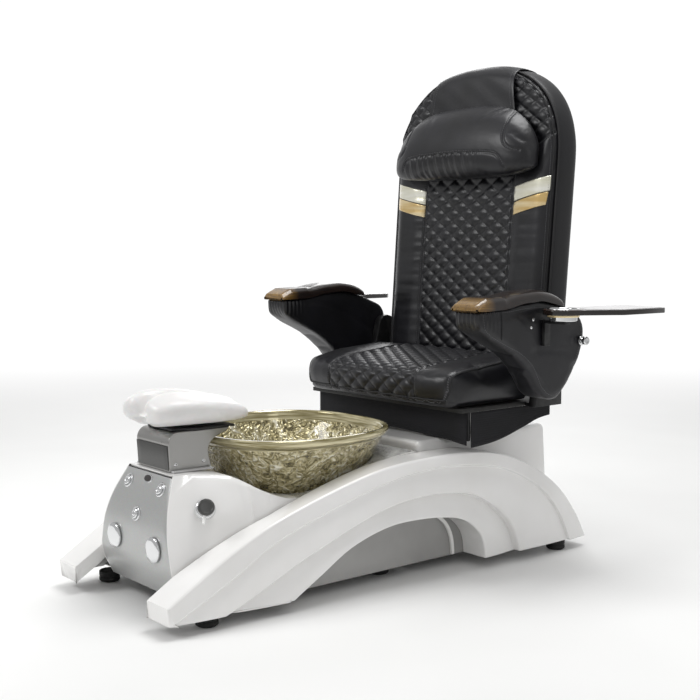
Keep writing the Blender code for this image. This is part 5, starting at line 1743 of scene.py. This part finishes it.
def makeTrays():
    # swivel tray: dark edge band round a white gloss board, with a chrome cup ring in its round end
    shape = trayShape
    x, y, z = shape["x"], shape["y"], shape["z"]
    for label, side in (("right", 1), ("left", -1)):
        title = label.capitalize()
        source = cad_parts["tray_board_" + label]
        boardObj = bpy.data.objects.new("trayBoard" + title, source.data.copy())
        bpy.context.scene.collection.objects.link(boardObj)
        boardObj.data.materials.clear()
        boardObj.data.materials.append(darkEdge)
        addModifier(boardObj, "WELD", merge_threshold=0.00001)
        addModifier(boardObj, "BEVEL", width=0.0045, segments=4, limit_method="ANGLE",
            angle_limit=radians(50))
        addModifier(boardObj, "WEIGHTED_NORMAL", keep_sharp=True)
        bake(boardObj)
        boardObj.data.shade_smooth()
        boardObj.data.set_sharp_from_angle(angle=radians(40))
        place(boardObj, "tray_" + label, "white_laminate", "tray_board_" + label)
        # white gloss top, inside the edge band
        arc = [(x + shape["discArc"] * cos(a), y + shape["discArc"] * sin(a))
            for a in (radians(step) for step in range(150, 29, -8))]
        outer = [(0.630, 0.444), (0.651, 0.474), (0.6555, 0.636), (0.646, 0.652), (0.628, 0.6595),
            (0.523, 0.6595), (0.508, 0.652), (0.500, 0.638), (0.498, 0.452), (0.4975, 0.412)]
        top = roundCorners([(a, b, 0) for a, b in arc + outer], [0.002] * len(arc) + [0.012] * len(outer), 4,
            closed=True)
        inlay = prism("trayTop" + title, [(side * p.x, p.y) for p in top], z + shape["thick"] - 0.0004,
            z + shape["thick"] + 0.0010, "Z", laminate, edge=0.0005)
        place(inlay, "tray_" + label, "white_laminate")
        at = Vector((side * x, y, z))
        level = shape["thick"] + 0.0004
        profile = profileOf([(0.0345, -0.0130), (0.0352, level + 0.0014), (0.0375, level + 0.0030),
            (0.0425, level + 0.0026), (0.0440, level + 0.0012), (0.0440, level), (0.0372, level),
            (0.0370, -0.0158), (0.0345, -0.0172), (0, -0.0174), (0, -0.0140), (0.0325, -0.0140)], 0.0010, 3,
            closed=True)
        ring = lathe("cupHolder" + title, profile, at, (0, 0, 1), chrome, 72)
        place(ring, "tray_" + label, "chrome_plate", "cup_holder_" + label)
        base = lathe("cupLiner" + title,
            profileOf([(0, -0.0138), (0.0325, -0.0138), (0.0338, -0.0120), (0.0325, -0.0126), (0, -0.0130)],
            0.0004, 2), at, (0, 0, 1), champagne, 64)
        place(base, "tray_" + label, "champagne_trim")
        lip = lathe("discRim" + title, profileOf([(0.0445, level - 0.0008), (0.0540, level - 0.0012),
            (0.0548, level - 0.0030), (0.0525, level + 0.0004), (0.0455, level + 0.0008)], 0.0004, 2,
            closed=True), at, (0, 0, 1), brownRing, 72)
        place(lip, "tray_" + label, "walnut_gloss")
        below = lathe("swivelRing" + title,
            profileOf([(0.0378, -0.0060), (0.0430, -0.0060), (0.0440, -0.0030), (0.0440, -0.0004),
            (0.0378, -0.0004)], 0.0006, 3, closed=True), at, (0, 0, 1), goldFoil, 64)
        place(below, "tray_" + label, "champagne_trim")
        refine(["tray_bracket_" + label], "arm_" + label, blackSteel, 0.0015)


makeArms()
makeTrays()
print("arms and trays made")


stageShape = {
    "floorRadius": 30.0, "floorColour": "#f6f6f5", "fade": (1.6, 6.5),
    "skyDim": 0.50, "skyBright": 1.05, "skyRamp": (0.55, 0.93),
    "camera": (2.5679, -2.0605, 0.9184), "azimuth": 50.365, "pitch": 5.25, "lens": 59.68,
}


def paperGlow(tree, direction, back):
    # how bright the paper or the room is, looking out from the chair
    low, high = stageShape["skyRamp"]
    unit = addNode(tree, "ShaderNodeVectorMath", {"operation": "NORMALIZE"}, {0: direction})
    ahead = addNode(tree, "ShaderNodeVectorMath", {"operation": "DOT_PRODUCT", 1: tuple(-back)},
        {0: unit.outputs["Vector"]})
    bright = addNode(tree, "ShaderNodeMapRange",
        {"From Min": low, "From Max": high, "To Min": stageShape["skyDim"],
        "To Max": stageShape["skyBright"], "interpolation_type": "SMOOTHSTEP"},
        {"Value": ahead.outputs["Value"]})
    return bright.outputs["Result"]


def makeStage():
    shape = stageShape
    a, e = radians(shape["azimuth"]), radians(shape["pitch"])
    back = Vector((sin(a) * cos(e), -cos(a) * cos(e), sin(e)))
    made, shader, at = startMaterial("pale studio floor", shape["floorColour"], 0.55)
    tree = shader.id_data
    tintBy(shader, noiseOn(at, 1.5, 2.0), (0.3, "#f2f2f1"), (0.7, shape["floorColour"]))
    # the paper glows where it is far off, so that it runs into the backdrop with no edge
    reach = addNode(tree, "ShaderNodeVectorMath", {"operation": "LENGTH"}, {"Vector": at})
    glow = addNode(tree, "ShaderNodeMapRange", {"From Min": shape["fade"][0], "From Max": shape["fade"][1],
        "interpolation_type": "SMOOTHSTEP"}, {"Value": reach.outputs["Value"]})
    lit = addNode(tree, "ShaderNodeEmission", {"Color": "#ffffff"})
    tree.links.new(paperGlow(tree, at, back), lit.inputs["Strength"])
    blendIn = addNode(tree, "ShaderNodeMixShader", {}, {0: glow.outputs["Result"], 1: shader.outputs["BSDF"],
        2: lit.outputs["Emission"]})
    tree.links.new(blendIn.outputs["Shader"], tree.nodes["Material Output"].inputs["Surface"])
    rim = [(x, y, -0.0005) for x, y in circle(shape["floorRadius"], 64)]
    floor = newObject("studioFloor", rim, [tuple(range(64))], made, smooth=False)
    world = bpy.data.worlds.new("studio sky")
    bpy.context.scene.world = world
    world.use_nodes = True
    background = world.node_tree.nodes["Background"]
    background.inputs["Color"].default_value = linear("#ffffff")
    # white paper behind the chair, and a dimmer room round the rest of it
    look = addNode(world.node_tree, "ShaderNodeTexCoord")
    world.node_tree.links.new(paperGlow(world.node_tree, look.outputs["Generated"], back),
        background.inputs["Strength"])
    lights = {
        # name: (place, aimed at, width, height, watts)
        "keySoftbox": ((-1.6, -3.4, 3.4), (0, 0, 0.6), 1.5, 1.5, 62),
        "sideSoftbox": ((3.6, -0.6, 2.6), (0, 0, 0.6), 1.2, 1.6, 5),
        "topSoftbox": ((0.2, 0.6, 4.2), (0, 0, 0.6), 1.8, 1.8, 84),
        "backStrip": ((-2.8, 2.6, 2.4), (0, 0.3, 0.9), 0.8, 2.4, 20),
    }
    for name, (spot, aim, width, height, power) in lights.items():
        data = bpy.data.lights.new(name, "AREA")
        data.shape = "RECTANGLE"
        data.size, data.size_y = width, height
        data.energy = power
        light = bpy.data.objects.new(name, data)
        light.location = spot
        light.rotation_euler = (Vector(aim) - Vector(spot)).to_track_quat("-Z", "Y").to_euler()
        bpy.context.scene.collection.objects.link(light)
    lens = bpy.data.cameras.new("studioCamera")
    lens.lens, lens.sensor_width = shape["lens"], 36.0
    camera = bpy.data.objects.new("studioCamera", lens)
    camera.location = shape["camera"]
    camera.rotation_euler = (-back).to_track_quat("-Z", "Y").to_euler()
    bpy.context.scene.collection.objects.link(camera)
    bpy.context.scene.camera = camera
    bpy.context.scene.view_settings.view_transform = "Standard"


makeStage()
